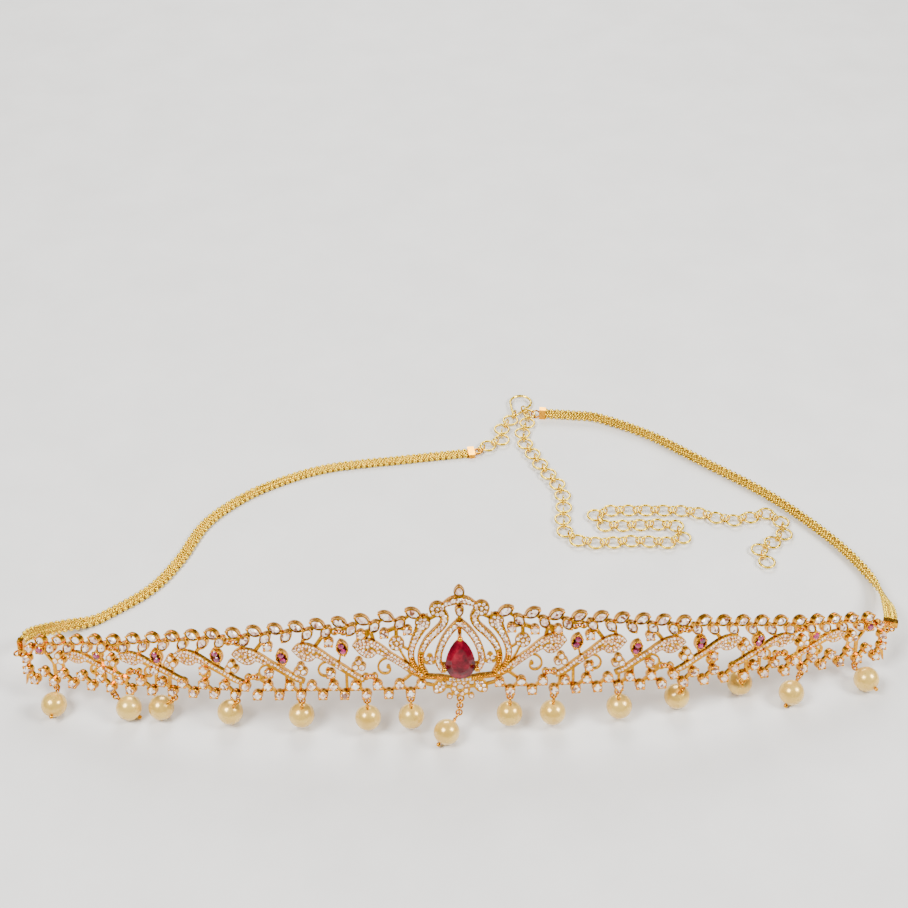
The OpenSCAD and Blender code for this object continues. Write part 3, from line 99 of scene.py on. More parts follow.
# Turns strip millimetres (along, up, towards the front) into metres in the frame
def panelMatrix(side, k):
    shift = Matrix.Translation(Vector((-strip["beltMid"][0], -strip["beltMid"][1], strip["lift"])))
    mirror = Matrix.Diagonal((side, 1, 1, 1))
    place = (Matrix.Translation(panelStart(k)) @ turned("Z", strip["turns"][k])
             @ turned("Y", strip["droops"][k]))
    flat = Matrix.Translation(Vector((-strip["hinges"][k], 0, 0))) @ turned("X", 90)
    return Matrix.Scale(mm, 4) @ shift @ turned("X", -strip["lean"]) @ mirror @ place @ flat


panels = {(side, k): panelMatrix(side, k) for side in (-1, 1) for k in range(4)}


# Rotation whose x runs along, and whose z points out
def facing(along, out):
    out = out.normalized()
    along = (along - along.dot(out) * out).normalized()
    return Matrix((along, out.cross(along), out)).transposed().to_quaternion()


# Place and rotation of a piece that faces outwards from the strip
def onStrip(side, k, s, v, height, turn=0.0):
    m = panels[(side, k)]
    a = math.radians(turn)
    axes = m.to_3x3()
    along = axes @ Vector((math.cos(a), math.sin(a), 0))
    return m @ Vector((s, v, height)), facing(along, axes @ Vector((0, 0, 1)))


# Strip point x along and y across from another one, in a direction given in degrees
def aside(s, v, degrees, x, y=0.0):
    a = math.radians(degrees)
    return s + x * math.cos(a) - y * math.sin(a), v + x * math.sin(a) + y * math.cos(a)


def mix(a, b, t):
    return a + (b - a) * t


def topS(i):
    return strip["topFirst"] + strip["topPitch"] * i + strip["topSpread"] * (1 - 0.5 ** i)


def stripHeight(s):
    t = (s - strip["topFirst"]) / (topS(topLast) - strip["topFirst"])
    return mix(strip["heightCentre"], strip["heightEnd"], t)


def lowPoint(m):
    return strip["lowFirst"] + strip["lowPitch"] * m / 2, strip["lowRise"] * (m % 2)


def panelOf(column, index):
    return next(k for k, last in enumerate(strip["lastStones"]) if index <= last[column])


def leafTip(i):
    s = strip["leafFirst"] + strip["leafPitch"] * i
    return s, strip["leafShare"] * stripHeight(s)


def leafAt(i, p):
    tip = leafTip(i)
    scale = stripHeight(tip[0]) / stripHeight(strip["leafFirst"])
    return tip[0] + p[0] * strip["leafLength"], tip[1] + p[1] * strip["leafRise"] * scale


# Value at t between q and r, on a smooth curve that also passes p and u
def smoothValue(p, q, r, u, t):
    square = 2 * p - 5 * q + 4 * r - u
    cube = 3 * q - p - 3 * r + u
    return 0.5 * (2 * q + (r - p) * t + square * t * t + cube * t ** 3)


# Points of an open smooth curve through the given ones
def smoothLine(points, steps):
    result = []
    for i in range(len(points) - 1):
        a, b = points[max(i - 1, 0)], points[i]
        c, d = points[i + 1], points[min(i + 2, len(points) - 1)]
        for j in range(steps):
            result.append(tuple(smoothValue(*four, j / steps) for four in zip(a, b, c, d)))
    result.append(tuple(points[-1]))
    return result


# (point, direction) at an even spacing along a line of flat points
def evenPoints(line, spacing):
    line = [Vector(p[:2]) for p in line]
    length = sum((b - a).length for a, b in zip(line, line[1:]))
    count = max(1, round(length / spacing))
    result = []
    walked, target = 0.0, length / count / 2
    for a, b in zip(line, line[1:]):
        piece = (b - a).length
        while piece > 0 and target <= walked + piece and len(result) < count:
            result.append((a.lerp(b, (target - walked) / piece), (b - a).normalized()))
            target += length / count
        walked += piece
    return result


# sRGB hex to a linear colour
def linear(code):
    parts = [int(code[i:i + 2], 16) / 255 for i in (1, 3, 5)]
    return tuple(p / 12.92 if p <= 0.04045 else ((p + 0.055) / 1.055) ** 2.4 for p in parts) + (1.0,)


# Adds one node: settings are its attributes, inputs are values or sockets to link, by name or number
def addNode(tree, kind, inputs=None, **settings):
    node = tree.nodes.new(kind)
    for key, value in settings.items():
        setattr(node, key, value)
    for key, value in (inputs or {}).items():
        if isinstance(value, bpy.types.NodeSocket):
            tree.links.new(value, node.inputs[key])
        else:
            node.inputs[key].default_value = value
    return node


# Values that most of a noise lies between
grainRange = (0.3, 0.7)


# A surface from constants, mixed colours or facet-like cells, and a bump, on the piece's own coordinates.
# In the stones the cells' colours are painted facet reflections and glints.
# Grain, cells and depth are in millimetres
def newMaterial(name, look):
    material = bpy.data.materials.new(name)
    material.use_nodes = True
    tree = material.node_tree
    tree.nodes.clear()
    place = addNode(tree, "ShaderNodeTexCoord").outputs["Object"]
    grain = addNode(tree, "ShaderNodeTexNoise", {
        "Vector": place, "Scale": 1 / (look["grain"] * mm), "Detail": 3.0, "Roughness": 0.6})
    if "cells" in look:
        cells = addNode(tree, "ShaderNodeTexVoronoi", {"Vector": place, "Scale": 1 / (look["cells"] * mm)})
        source = addNode(tree, "ShaderNodeSeparateColor", {"Color": cells.outputs["Color"]}).outputs["Red"]
    else:
        source = grain.outputs["Fac"]
    ramp = addNode(tree, "ShaderNodeValToRGB", {"Fac": source})
    stops = look["colours"]
    ramp.color_ramp.interpolation = "CONSTANT" if "cells" in look else "LINEAR"
    while len(ramp.color_ramp.elements) < len(stops):
        ramp.color_ramp.elements.new(0.5)
    for element, (spot, code) in zip(ramp.color_ramp.elements, stops):
        element.position = spot
        element.color = linear(code)
    shade = {
        "Base Color": ramp.outputs["Color"],
        "Metallic": look.get("metallic", 0.0),
        "Coat Weight": look.get("coat", 0.0),
    }
    if "ior" in look:
        shade["IOR"] = look["ior"]
    least, most = grainRange
    low, high = look["rough"]
    uneven = addNode(tree, "ShaderNodeMapRange", {
        "Value": grain.outputs["Fac"], "From Min": least, "From Max": most, "To Min": low, "To Max": high})
    shade["Roughness"] = uneven.outputs["Result"]
    if "bump" in look:
        height = cells.outputs["Color"] if "cells" in look else grain.outputs["Fac"]
        shade["Normal"] = addNode(tree, "ShaderNodeBump", {
            "Height": height, "Strength": look["bump"], "Distance": look["depth"] * mm}).outputs["Normal"]
    surface = addNode(tree, "ShaderNodeBsdfPrincipled", shade)
    addNode(tree, "ShaderNodeOutputMaterial", {"Surface": surface.outputs["BSDF"]})
    return material


# Cast brass, gold plated and polished: deep yellow with a slight orange-peel and softer spots
goldPlate = newMaterial("gold_plated_cast_brass", {
    "colours": ((0.3, "#B87408"), (0.7, "#F5B01E")), "metallic": 1.0,
    "grain": 0.9, "rough": (0.14, 0.3), "bump": 0.3, "depth": 0.05})
# Bright drawn wire with a lemon gold plating: paler and yellower than the cast front
lemonGold = newMaterial("lemon_gold_plated_wire", {
    "colours": ((0.3, "#E0B21C"), (0.7, "#FADC48")), "metallic": 1.0,
    "grain": 0.7, "rough": (0.2, 0.34), "bump": 0.2, "depth": 0.04})
# Inside of the woven band, a darker gold that paints the shade deep in the weave
weaveShadeGold = newMaterial("painted_shade_gold_core", {
    "colours": ((0.3, "#6B4A14"), (0.7, "#A87C2A")), "metallic": 1.0,
    "grain": 0.6, "rough": (0.4, 0.6), "bump": 0.3, "depth": 0.05})
# Foil-backed cut glass: its facet cells are painted reflections, white glints, a warm blush and dark spots
clearStonePaintedGlints = newMaterial("foiled_cut_glass_clear_painted_glints", {
    "colours": ((0.0, "#7E4E34"), (0.16, "#F0D8C8"), (0.5, "#FFF6EC"), (0.8, "#D6A48E")),
    "cells": 0.75, "grain": 0.5, "rough": (0.04, 0.14), "bump": 0.5, "depth": 0.2, "coat": 1.0, "ior": 1.6})
# Small ones have finer facets, so their cells, painted reflections and glints as on the larger clear
# stones, are finer too
paveStonePaintedGlints = newMaterial("foiled_cut_glass_pave_painted_glints", {
    "colours": ((0.0, "#8E5C3A"), (0.2, "#F0D2B8"), (0.5, "#FFF8EE"), (0.8, "#DDA686")),
    "cells": 0.5, "grain": 0.4, "rough": (0.05, 0.15), "bump": 0.4, "depth": 0.12, "coat": 1.0, "ior": 1.6})
# Magenta glass of the buds, its facet cells painted darker and lighter as shaded and lit facets
pinkStone = newMaterial("foiled_cut_glass_magenta", {
    "colours": ((0.0, "#4E0626"), (0.25, "#8A1048"), (0.6, "#B4246A"), (0.85, "#6A0C3A")),
    "cells": 0.6, "grain": 0.4, "rough": (0.04, 0.12), "bump": 0.4, "depth": 0.15, "coat": 1.0, "ior": 1.6})
# Crimson glass with broad polished facets; its lighter patches are painted light, the glow of its foil back
rubyGlass = newMaterial("cut_ruby_glass", {
    "colours": ((0.3, "#3C020B"), (0.5, "#640418"), (0.7, "#900A24")),
    "grain": 2.6, "rough": (0.06, 0.14), "coat": 0.2, "ior": 1.35})
# Golden cream imitation pearl: a dipped, part metallic lustre, very slightly uneven
pearlLustre = newMaterial("dipped_cream_pearl", {
    "colours": ((0.3, "#DAAC44"), (0.7, "#EEC866")), "metallic": 0.3,
    "grain": 6.0, "rough": (0.24, 0.3), "bump": 0.03, "depth": 0.1, "coat": 0.6})
# Smooth studio board
paleBoard = newMaterial("matt_pale_board", {
    "colours": ((0.3, "#DEDCD8"), (0.7, "#E6E4E0")), "grain": 30.0, "rough": (0.7, 0.8)})

print("materials made")


def newObject(name, vertices, faces, edges=()):
    mesh = bpy.data.meshes.new(name)
    mesh.from_pydata([tuple(v) for v in vertices], list(edges), faces)
    obj = bpy.data.objects.new(name, mesh)
    bpy.context.scene.collection.objects.link(obj)
    return obj


def setVectors(mesh, name, values, kind="FLOAT_VECTOR"):
    attribute = mesh.attributes.new(name, kind, "POINT")
    key = "value" if kind == "QUATERNION" else "vector"
    attribute.data.foreach_set(key, [c for value in values for c in value])


# Node group with named inputs; returns it with its input and output nodes
def newTree(name, sockets):
    tree = bpy.data.node_groups.new(name, "GeometryNodeTree")
    for label, kind in sockets:
        tree.interface.new_socket(label, in_out="INPUT", socket_type=kind)
    tree.interface.new_socket("Result", in_out="OUTPUT", socket_type="NodeSocketGeometry")
    return tree, addNode(tree, "NodeGroupInput").outputs


# Real copies with their material, shaded smooth or in facets
def endTree(tree, shape, material, smooth):
    real = addNode(tree, "GeometryNodeRealizeInstances", {"Geometry": shape})
    shaded = addNode(tree, "GeometryNodeSetShadeSmooth", {
        "Geometry": real.outputs[0], "Shade Smooth": smooth})
    painted = addNode(tree, "GeometryNodeSetMaterial", {
        "Geometry": shaded.outputs[0], "Material": material})
    addNode(tree, "NodeGroupOutput", {0: painted.outputs[0]})


# Small pieces, each on its own point, turned and sized by the point's attributes
def settingTree():
    tree, given = newTree("set small pieces", (
        ("Points", "NodeSocketGeometry"), ("Piece", "NodeSocketObject"), ("Size", "NodeSocketFloat"),
        ("Smooth", "NodeSocketBool"), ("Finish", "NodeSocketMaterial")))
    piece = addNode(tree, "GeometryNodeObjectInfo", {"Object": given["Piece"]})
    turn = addNode(tree, "GeometryNodeInputNamedAttribute", {"Name": "turn"}, data_type="QUATERNION")
    size = addNode(tree, "GeometryNodeInputNamedAttribute", {"Name": "size"}, data_type="FLOAT_VECTOR")
    scale = addNode(tree, "ShaderNodeVectorMath", {
        0: size.outputs[0], "Scale": given["Size"]}, operation="SCALE")
    spread = addNode(tree, "GeometryNodeInstanceOnPoints", {
        "Points": given["Points"], "Instance": piece.outputs["Geometry"],
        "Rotation": turn.outputs[0], "Scale": scale.outputs[0]})
    endTree(tree, spread.outputs[0], given["Finish"], given["Smooth"])
    return tree


# Columns of slanted links along a path: neighbours slant opposite ways, and stand half a pitch on
def weaveTree(columns):
    tree, given = newTree("weave a band", (
        ("Path", "NodeSocketGeometry"), ("Link", "NodeSocketObject"), ("Edge Link", "NodeSocketObject"),
        ("Pitch", "NodeSocketFloat"), ("Column Width", "NodeSocketFloat"), ("Slant", "NodeSocketFloat"),
        ("Finish", "NodeSocketMaterial")))
    curve = addNode(tree, "GeometryNodeMeshToCurve", {"Mesh": given["Path"]})
    points = addNode(tree, "GeometryNodeCurveToPoints", {
        "Curve": curve.outputs[0], "Length": given["Pitch"]}, mode="LENGTH")
    across, up = [addNode(tree, "GeometryNodeInputNamedAttribute", {"Name": name},
                          data_type="FLOAT_VECTOR").outputs[0] for name in ("across", "up")]
    tangent = points.outputs["Tangent"]
    lying = addNode(tree, "FunctionNodeAxesToRotation", {
        0: up, 1: tangent}, primary_axis="Z", secondary_axis="X")
    pieces = [addNode(tree, "GeometryNodeObjectInfo", {"Object": given[key]})
              for key in ("Link", "Edge Link")]
    joined = addNode(tree, "GeometryNodeJoinGeometry")
    index = addNode(tree, "GeometryNodeInputIndex")
    second = addNode(tree, "ShaderNodeMath", {0: index.outputs[0], 1: 2.0}, operation="MODULO")
    middle = (columns - 1) / 2
    for column in range(columns):
        edge = column in (0, columns - 1)
        reach = addNode(tree, "ShaderNodeMath", {
            0: given["Column Width"], 1: column - middle}, operation="MULTIPLY")
        sideways = addNode(tree, "ShaderNodeVectorMath", {
            0: across, "Scale": reach.outputs[0]}, operation="SCALE")
        ahead = addNode(tree, "ShaderNodeMath", {
            0: given["Pitch"], 1: 0.5 * (column % 2)}, operation="MULTIPLY")
        along = addNode(tree, "ShaderNodeVectorMath", {
            0: tangent, "Scale": ahead.outputs[0]}, operation="SCALE")
        shift = addNode(tree, "ShaderNodeVectorMath", {
            0: sideways.outputs[0], 1: along.outputs[0]}, operation="ADD")
        moved = addNode(tree, "GeometryNodeSetPosition", {
            "Geometry": points.outputs["Points"], "Offset": shift.outputs[0]})
        angle = addNode(tree, "ShaderNodeMath", {
            0: given["Slant"], 1: 0.0 if edge else (-1.0) ** column}, operation="MULTIPLY")
        euler = addNode(tree, "ShaderNodeCombineXYZ", {"Z": angle.outputs[0]})
        slanted = addNode(tree, "FunctionNodeRotateRotation", {
            0: lying.outputs[0], 1: euler.outputs[0]}, rotation_space="LOCAL")
        links = addNode(tree, "GeometryNodeInstanceOnPoints", {
            "Points": moved.outputs[0], "Instance": pieces[1 if edge else 0].outputs["Geometry"],
            "Selection": second.outputs[0] if edge else True, "Rotation": slanted.outputs[0]})
        tree.links.new(links.outputs[0], joined.inputs[0])
    endTree(tree, joined.outputs[0], given["Finish"], True)
    return tree


# Wire wound around a straight stretch of path, from so many points and sides
def coilTree(points, sides):
    tree, given = newTree("wind a wire", (
        ("Path", "NodeSocketGeometry"), ("Radius", "NodeSocketFloat"), ("Pitch", "NodeSocketFloat"),
        ("Wire", "NodeSocketFloat"), ("Finish", "NodeSocketMaterial")))
    curve = addNode(tree, "GeometryNodeMeshToCurve", {"Mesh": given["Path"]})
    fine = addNode(tree, "GeometryNodeResampleCurve", {"Curve": curve.outputs[0], "Count": points})
    inside = addNode(tree, "GeometryNodeSplineParameter")
    tangent = addNode(tree, "GeometryNodeInputTangent")
    turns = addNode(tree, "ShaderNodeMath", {
        0: inside.outputs["Length"], 1: given["Pitch"]}, operation="DIVIDE")
    angle = addNode(tree, "ShaderNodeMath", {0: turns.outputs[0], 1: math.tau}, operation="MULTIPLY")
    first = addNode(tree, "ShaderNodeVectorMath", {
        0: tangent.outputs[0], 1: (0.0, 0.0, 1.0)}, operation="CROSS_PRODUCT")
    side = addNode(tree, "ShaderNodeVectorMath", {0: first.outputs[0]}, operation="NORMALIZE")
    away = addNode(tree, "ShaderNodeVectorRotate", {
        "Vector": side.outputs[0], "Axis": tangent.outputs[0], "Angle": angle.outputs[0]},
        rotation_type="AXIS_ANGLE")
    reach = addNode(tree, "ShaderNodeVectorMath", {
        0: away.outputs[0], "Scale": given["Radius"]}, operation="SCALE")
    wound = addNode(tree, "GeometryNodeSetPosition", {
        "Geometry": fine.outputs[0], "Offset": reach.outputs[0]})
    ring = addNode(tree, "GeometryNodeCurvePrimitiveCircle", {"Resolution": sides, "Radius": given["Wire"]})
    tube = addNode(tree, "GeometryNodeCurveToMesh", {
        "Curve": wound.outputs[0], "Profile Curve": ring.outputs["Curve"], "Fill Caps": True})
    endTree(tree, tube.outputs[0], given["Finish"], True)
    return tree


# Runs a tree on a base object and keeps the result as a plain mesh object
def growPiece(name, base, tree, values):
    modifier = base.modifiers.new("grow", "NODES")
    modifier.node_group = tree
    for item in tree.interface.items_tree:
        if item.item_type == "SOCKET" and item.in_out == "INPUT" and item.name in values:
            modifier[item.identifier] = values[item.name]
    bpy.context.view_layer.update()
    shown = base.evaluated_get(bpy.context.evaluated_depsgraph_get())
    mesh = bpy.data.meshes.new_from_object(shown)
    base.modifiers.remove(modifier)
    bpy.data.objects.remove(base)
    mesh.name = name
    piece = bpy.data.objects.new(name, mesh)
    bpy.context.scene.collection.objects.link(piece)
    print(name, len(mesh.polygons), "faces")
    return piece


# Every finished piece rides on the belt
def keep(piece, slot, *replaced):
    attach(piece, "root")
    if replaced:
        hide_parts(*replaced)


# Brilliant of diameter 1: table, crown, girdle and a short pavilion
def cutTemplate(name, sides, table, crown, depth, girdle=0.05):
    ring = [math.tau * i / sides for i in range(sides)]
    turn = math.pi / sides
    vertices = [(table / 2 * math.cos(a), table / 2 * math.sin(a), crown) for a in ring]
    vertices += [(0.5 * math.cos(a + turn), 0.5 * math.sin(a + turn), height)
                 for height in (girdle, 0.0) for a in ring]
    vertices.append((0, 0, -depth))
    faces = [list(range(sides))]
    for i in range(sides):
        j = (i + 1) % sides
        a, b = sides, 2 * sides
        faces += [[j, i, a + i], [j, a + i, a + j], [a + i, b + i, b + j, a + j], [b + i, 3 * sides, b + j]]
    return newObject(name, vertices, faces)


# Ball of diameter 1, or stretched to three sizes
def ballTemplate(name, around, rings, size=(1, 1, 1)):
    vertices = [(0, 0, -0.5)]
    for r in range(1, rings):
        a = math.pi * r / rings
        out = 0.5 * math.sin(a)
        for i in range(around):
            b = math.tau * i / around
            vertices.append((out * math.cos(b), out * math.sin(b), -0.5 * math.cos(a)))
    vertices.append((0, 0, 0.5))
    faces = []
    for i in range(around):
        j = (i + 1) % around
        faces.append([0, 1 + j, 1 + i])
        for r in range(rings - 2):
            a = 1 + r * around
            faces.append([a + i, a + j, a + around + j, a + around + i])
        faces.append([1 + (rings - 2) * around + i, 1 + (rings - 2) * around + j, len(vertices) - 1])
    return newObject(name, [[c * d for c, d in zip(v, size)] for v in vertices], faces)


setting = settingTree()
templates = {
    "round": cutTemplate("round_cut", sides=8, table=0.56, crown=0.17, depth=0.2),
    "pave": cutTemplate("pave_cut", sides=6, table=0.55, crown=0.2, depth=0.1),
    "ball": ballTemplate("bead", around=8, rings=5),
}


# Places are (point, rotation, size) with the size in millimetres, one number or three
def setPieces(name, template, places, material, slot, smooth=False):
    base = newObject(name + "_points", [p[0] for p in places], [])
    setVectors(base.data, "turn", [tuple(p[1]) for p in places], "QUATERNION")
    setVectors(base.data, "size", [p[2] if isinstance(p[2], tuple) else (p[2],) * 3 for p in places])
    piece = growPiece(name, base, setting, {
        "Piece": templates[template], "Size": mm, "Smooth": smooth, "Finish": material})
    keep(piece, slot)
    return piece


# Metal, stones and pearls that the solids already shape
def nodeFinish(name):
    if name.startswith("pearl_"):
        return pearlLustre
    if name == "ruby":
        return rubyGlass
    if name.endswith("_stones"):
        return clearStonePaintedGlints
    return lemonGold if name in ("hook", "hook_chain", "extension_chain") else goldPlate


for name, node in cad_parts.items():
    if not node.material_slots:
        node.data.materials.append(None)
    for place in node.material_slots:
        place.material = nodeFinish(name)
print("solids painted")

# Round stones in the two low rows, the single cups and the end, and the three-leaved sprigs
roundStones = {
    "size": 2.45,
    "height": 2.12,
    "turn": 22.5,
    "prong": 1.05,
    "prongAngles": (45, 135, 225, 315),
    "prongReach": 1.34,
    "prongHeight": 2.2,
    "sprigSize": 1.62,
    "sprigReach": 1.15,
    "sprigAngles": (-30, 90, 210),
    # shares of the leaf's length and rise, from its tip
    "sprigs": (
        (-0.08, -0.53), (-0.11, -0.6), (0.005, -0.45), (0.05, -0.26), (0.095, -0.24), (0.085, -0.24)),
    "endStones": ((135, 10.6), (136.3, 7), (136.5, 3.2)),
    # panel, place along, share of the height
    "singles": (
        (0, 15.6, 0.8), (0, 22.6, 0.79), (0, 29.6, 0.81), (1, 39.2, 0.74), (1, 57.6, 0.75),
        (1, 38.9, 0.3), (1, 57.6, 0.34), (2, 77.5, 0.4), (2, 93.2, 0.38), (3, 110.4, 0.36)),
}


def roundSpots():
    for m in range(strip["lowStart"], lowLast + 1):
        yield (panelOf(1, m), *lowPoint(m))
    for k, s, share in roundStones["singles"]:
        yield k, s, share * stripHeight(s)
    for s, v in roundStones["endStones"]:
        yield len(strip["hinges"]) - 1, s, v


# Panel of the sprig or bud that stands outside leaf i
def vinePanel(i):
    return i // 2 + 1


def sprigSpots():
    for i, share in enumerate(roundStones["sprigs"]):
        for angle in roundStones["sprigAngles"]:
            yield (vinePanel(i), *aside(*leafAt(i, share), angle, roundStones["sprigReach"]))


# A round stone with its four prongs
def prongSet(side, k, s, v, size, reach, height):
    stone = onStrip(side, k, s, v, roundStones["height"], roundStones["turn"]) + (size,)
    return stone, [onStrip(side, k, *aside(s, v, angle, reach), height) + (roundStones["prong"],)
                   for angle in roundStones["prongAngles"]]


stones, prongs = [], []
for side in (-1, 1):
    for k, s, v in roundSpots():
        stone, around = prongSet(side, k, s, v, roundStones["size"], roundStones["prongReach"],
                                 roundStones["prongHeight"])
        stones.append(stone)
        prongs += around
    for k, s, v in sprigSpots():
        stones.append(onStrip(side, k, s, v, roundStones["height"]) + (roundStones["sprigSize"],))
setPieces("round_stones", "round", stones, clearStonePaintedGlints, "clear_stone")

# Claws over the tips of the pointed stones, and pink stones in the buds with prongs or beads around them
claws = {
    "size": (1.05, 0.8, 0.8),
    "inset": 0.42,
    "height": 2.1,
    # beads around a bud: half length and half width of their oval, how many, and their size
    "budBeads": (2.1, 1.6, 10, 0.78),
    "budTilt": 72,
    "budLength": 5.4,
    "buds": ((0.14, -0.06), (0.14, -0.22), (0.21, -0.1), (0.25, -0.1), (0.295, -0.07), (0.37, 0.12)),
    # from this one on a bud is round and has one stone
    "roundBud": 4,
    "roundPink": 2.35,
    "roundReach": 1.35,
    "pink": 1.9,
    "pinkReach": 0.97,
}


def clawPair(side, k, s, v, length, turn):
    for end in (-1, 1):
        spot = aside(s, v, turn, end * (length / 2 - claws["inset"]))
        yield onStrip(side, k, *spot, claws["height"], turn) + (claws["size"],)


pinks = []
for side in (-1, 1):
    for i in range(topLast + 1):
        s = topS(i)
        length = mix(*strip["topLengths"], i / topLast)
        prongs += clawPair(side, panelOf(0, i), s, stripHeight(s), length, strip["topTilt"])
    for j in range(topLast):
        joint = j in [last[0] for last in strip["lastStones"][:-1]]
        s = (topS(j) + topS(j + 1)) / 2 + (strip["secondShift"] if joint else 0)
        prongs += clawPair(side, panelOf(0, j + 1), s, stripHeight(s) - strip["secondDrop"],
                           strip["secondLength"], strip["secondTilt"])
    for i, share in enumerate(claws["buds"]):
        s, v = leafAt(i, share)
        k = vinePanel(i)
        if i >= claws["roundBud"]:
            stone, around = prongSet(side, k, s, v, claws["roundPink"], claws["roundReach"],
                                     claws["height"])
            pinks.append(stone)
            prongs += around
            continue
        prongs += clawPair(side, k, s, v, claws["budLength"], claws["budTilt"])
        for end in (-1, 1):
            spot = aside(s, v, claws["budTilt"], end * claws["pinkReach"])
            pinks.append(onStrip(side, k, *spot, roundStones["height"]) + (claws["pink"],))
        x, y, count, size = claws["budBeads"]
        for j in range(count):
            b = math.tau * (j + 0.5) / count
            spot = aside(s, v, claws["budTilt"], x * math.cos(b), y * math.sin(b))
            prongs.append(onStrip(side, k, *spot, claws["height"]) + (size,))
setPieces("bud_stones", "round", pinks, pinkStone, "red_stone")
setPieces("stone_prongs", "ball", prongs, goldPlate, "gold", True)

# Small stones set close on the leaves: rows that follow the leaf's own edge
pave = {
    "size": 1.02,
    "turn": 30,
    # places are tried this far apart, in rows this deep inside the edge
    "tries": 0.3675,
    "rows": (0.56, 1.5, 2.45, 3.4),
    # least distances to the edge, with a slack for its corners, and to the next stone
    "clear": 0.47,
    "slack": 0.02,
    "apart": 0.94,
    "height": 1.68,
    # a bead stands between two stones no further apart than this, and this far off all of them
    "beadBetween": 1.35,
    "beadClear": 0.47,
    "bead": 0.36,
    "beadHeight": 1.78,
    "steps": 3,
    # outline as shares of the leaf's length and rise, from its tip
    "upper": (
        (0, 0), (-0.04, 0.1), (-0.1, 0.165), (-0.21, 0.17), (-0.32, 0.09), (-0.43, -0.06),
        (-0.54, -0.24), (-0.66, -0.4), (-0.77, -0.56), (-0.88, -0.73), (-1, -0.86)),
    "lower": (
        (-0.98, -0.97), (-0.88, -0.9), (-0.79, -0.8), (-0.7, -0.67), (-0.6, -0.53), (-0.51, -0.42),
        (-0.43, -0.32), (-0.36, -0.24), (-0.32, -0.23), (-0.27, -0.32), (-0.18, -0.33), (-0.09, -0.21)),
}


def insideOutline(outline, p):
    inside = False
    for a, b in zip(outline, outline[1:] + outline[:1]):
        if (a.y > p.y) != (b.y > p.y) and p.x < a.x + (p.y - a.y) / (b.y - a.y) * (b.x - a.x):
            inside = not inside
    return inside


def outlineDistance(outline, p):
    best = math.inf
    for a, b in zip(outline, outline[1:] + outline[:1]):
        d = b - a
        t = min(1, max(0, (p - a).dot(d) / d.length_squared))
        best = min(best, (p - a - t * d).length)
    return best


# Flat points of the stones of one outline, row by row from its edge inwards
def pavePoints(outline):
    taken = []
    closed = outline + outline[:1]
    for depth in pave["rows"]:
        least = min(depth, pave["clear"]) - pave["slack"]
        for point, way in evenPoints(closed, pave["tries"]):
            p = point + depth * Vector((-way.y, way.x))
            if not insideOutline(outline, p) or outlineDistance(outline, p) < least:
                continue
            if all((p - q).length >= pave["apart"] for q in taken):
                taken.append(p)
    return taken


stones, beads = [], []
leafEdge = smoothLine(pave["upper"], pave["steps"]) + smoothLine(pave["lower"], pave["steps"])
for i, k in enumerate(strip["leafPanels"]):
    outline = [Vector(leafAt(i, p)) for p in leafEdge]
    points = pavePoints(outline)
    for side in (-1, 1):
        for p in points:
            stones.append(onStrip(side, k, p.x, p.y, pave["height"], pave["turn"]) + (pave["size"],))
        for a in range(len(points)):
            for b in range(a):
                middle = (points[a] + points[b]) / 2
                if (points[a] - points[b]).length < pave["beadBetween"] and all(
                        (middle - q).length > pave["beadClear"] for q in points):
                    beads.append(onStrip(side, k, middle.x, middle.y, pave["beadHeight"]) + (pave["bead"],))
print("leaf stones placed", len(stones), len(beads))

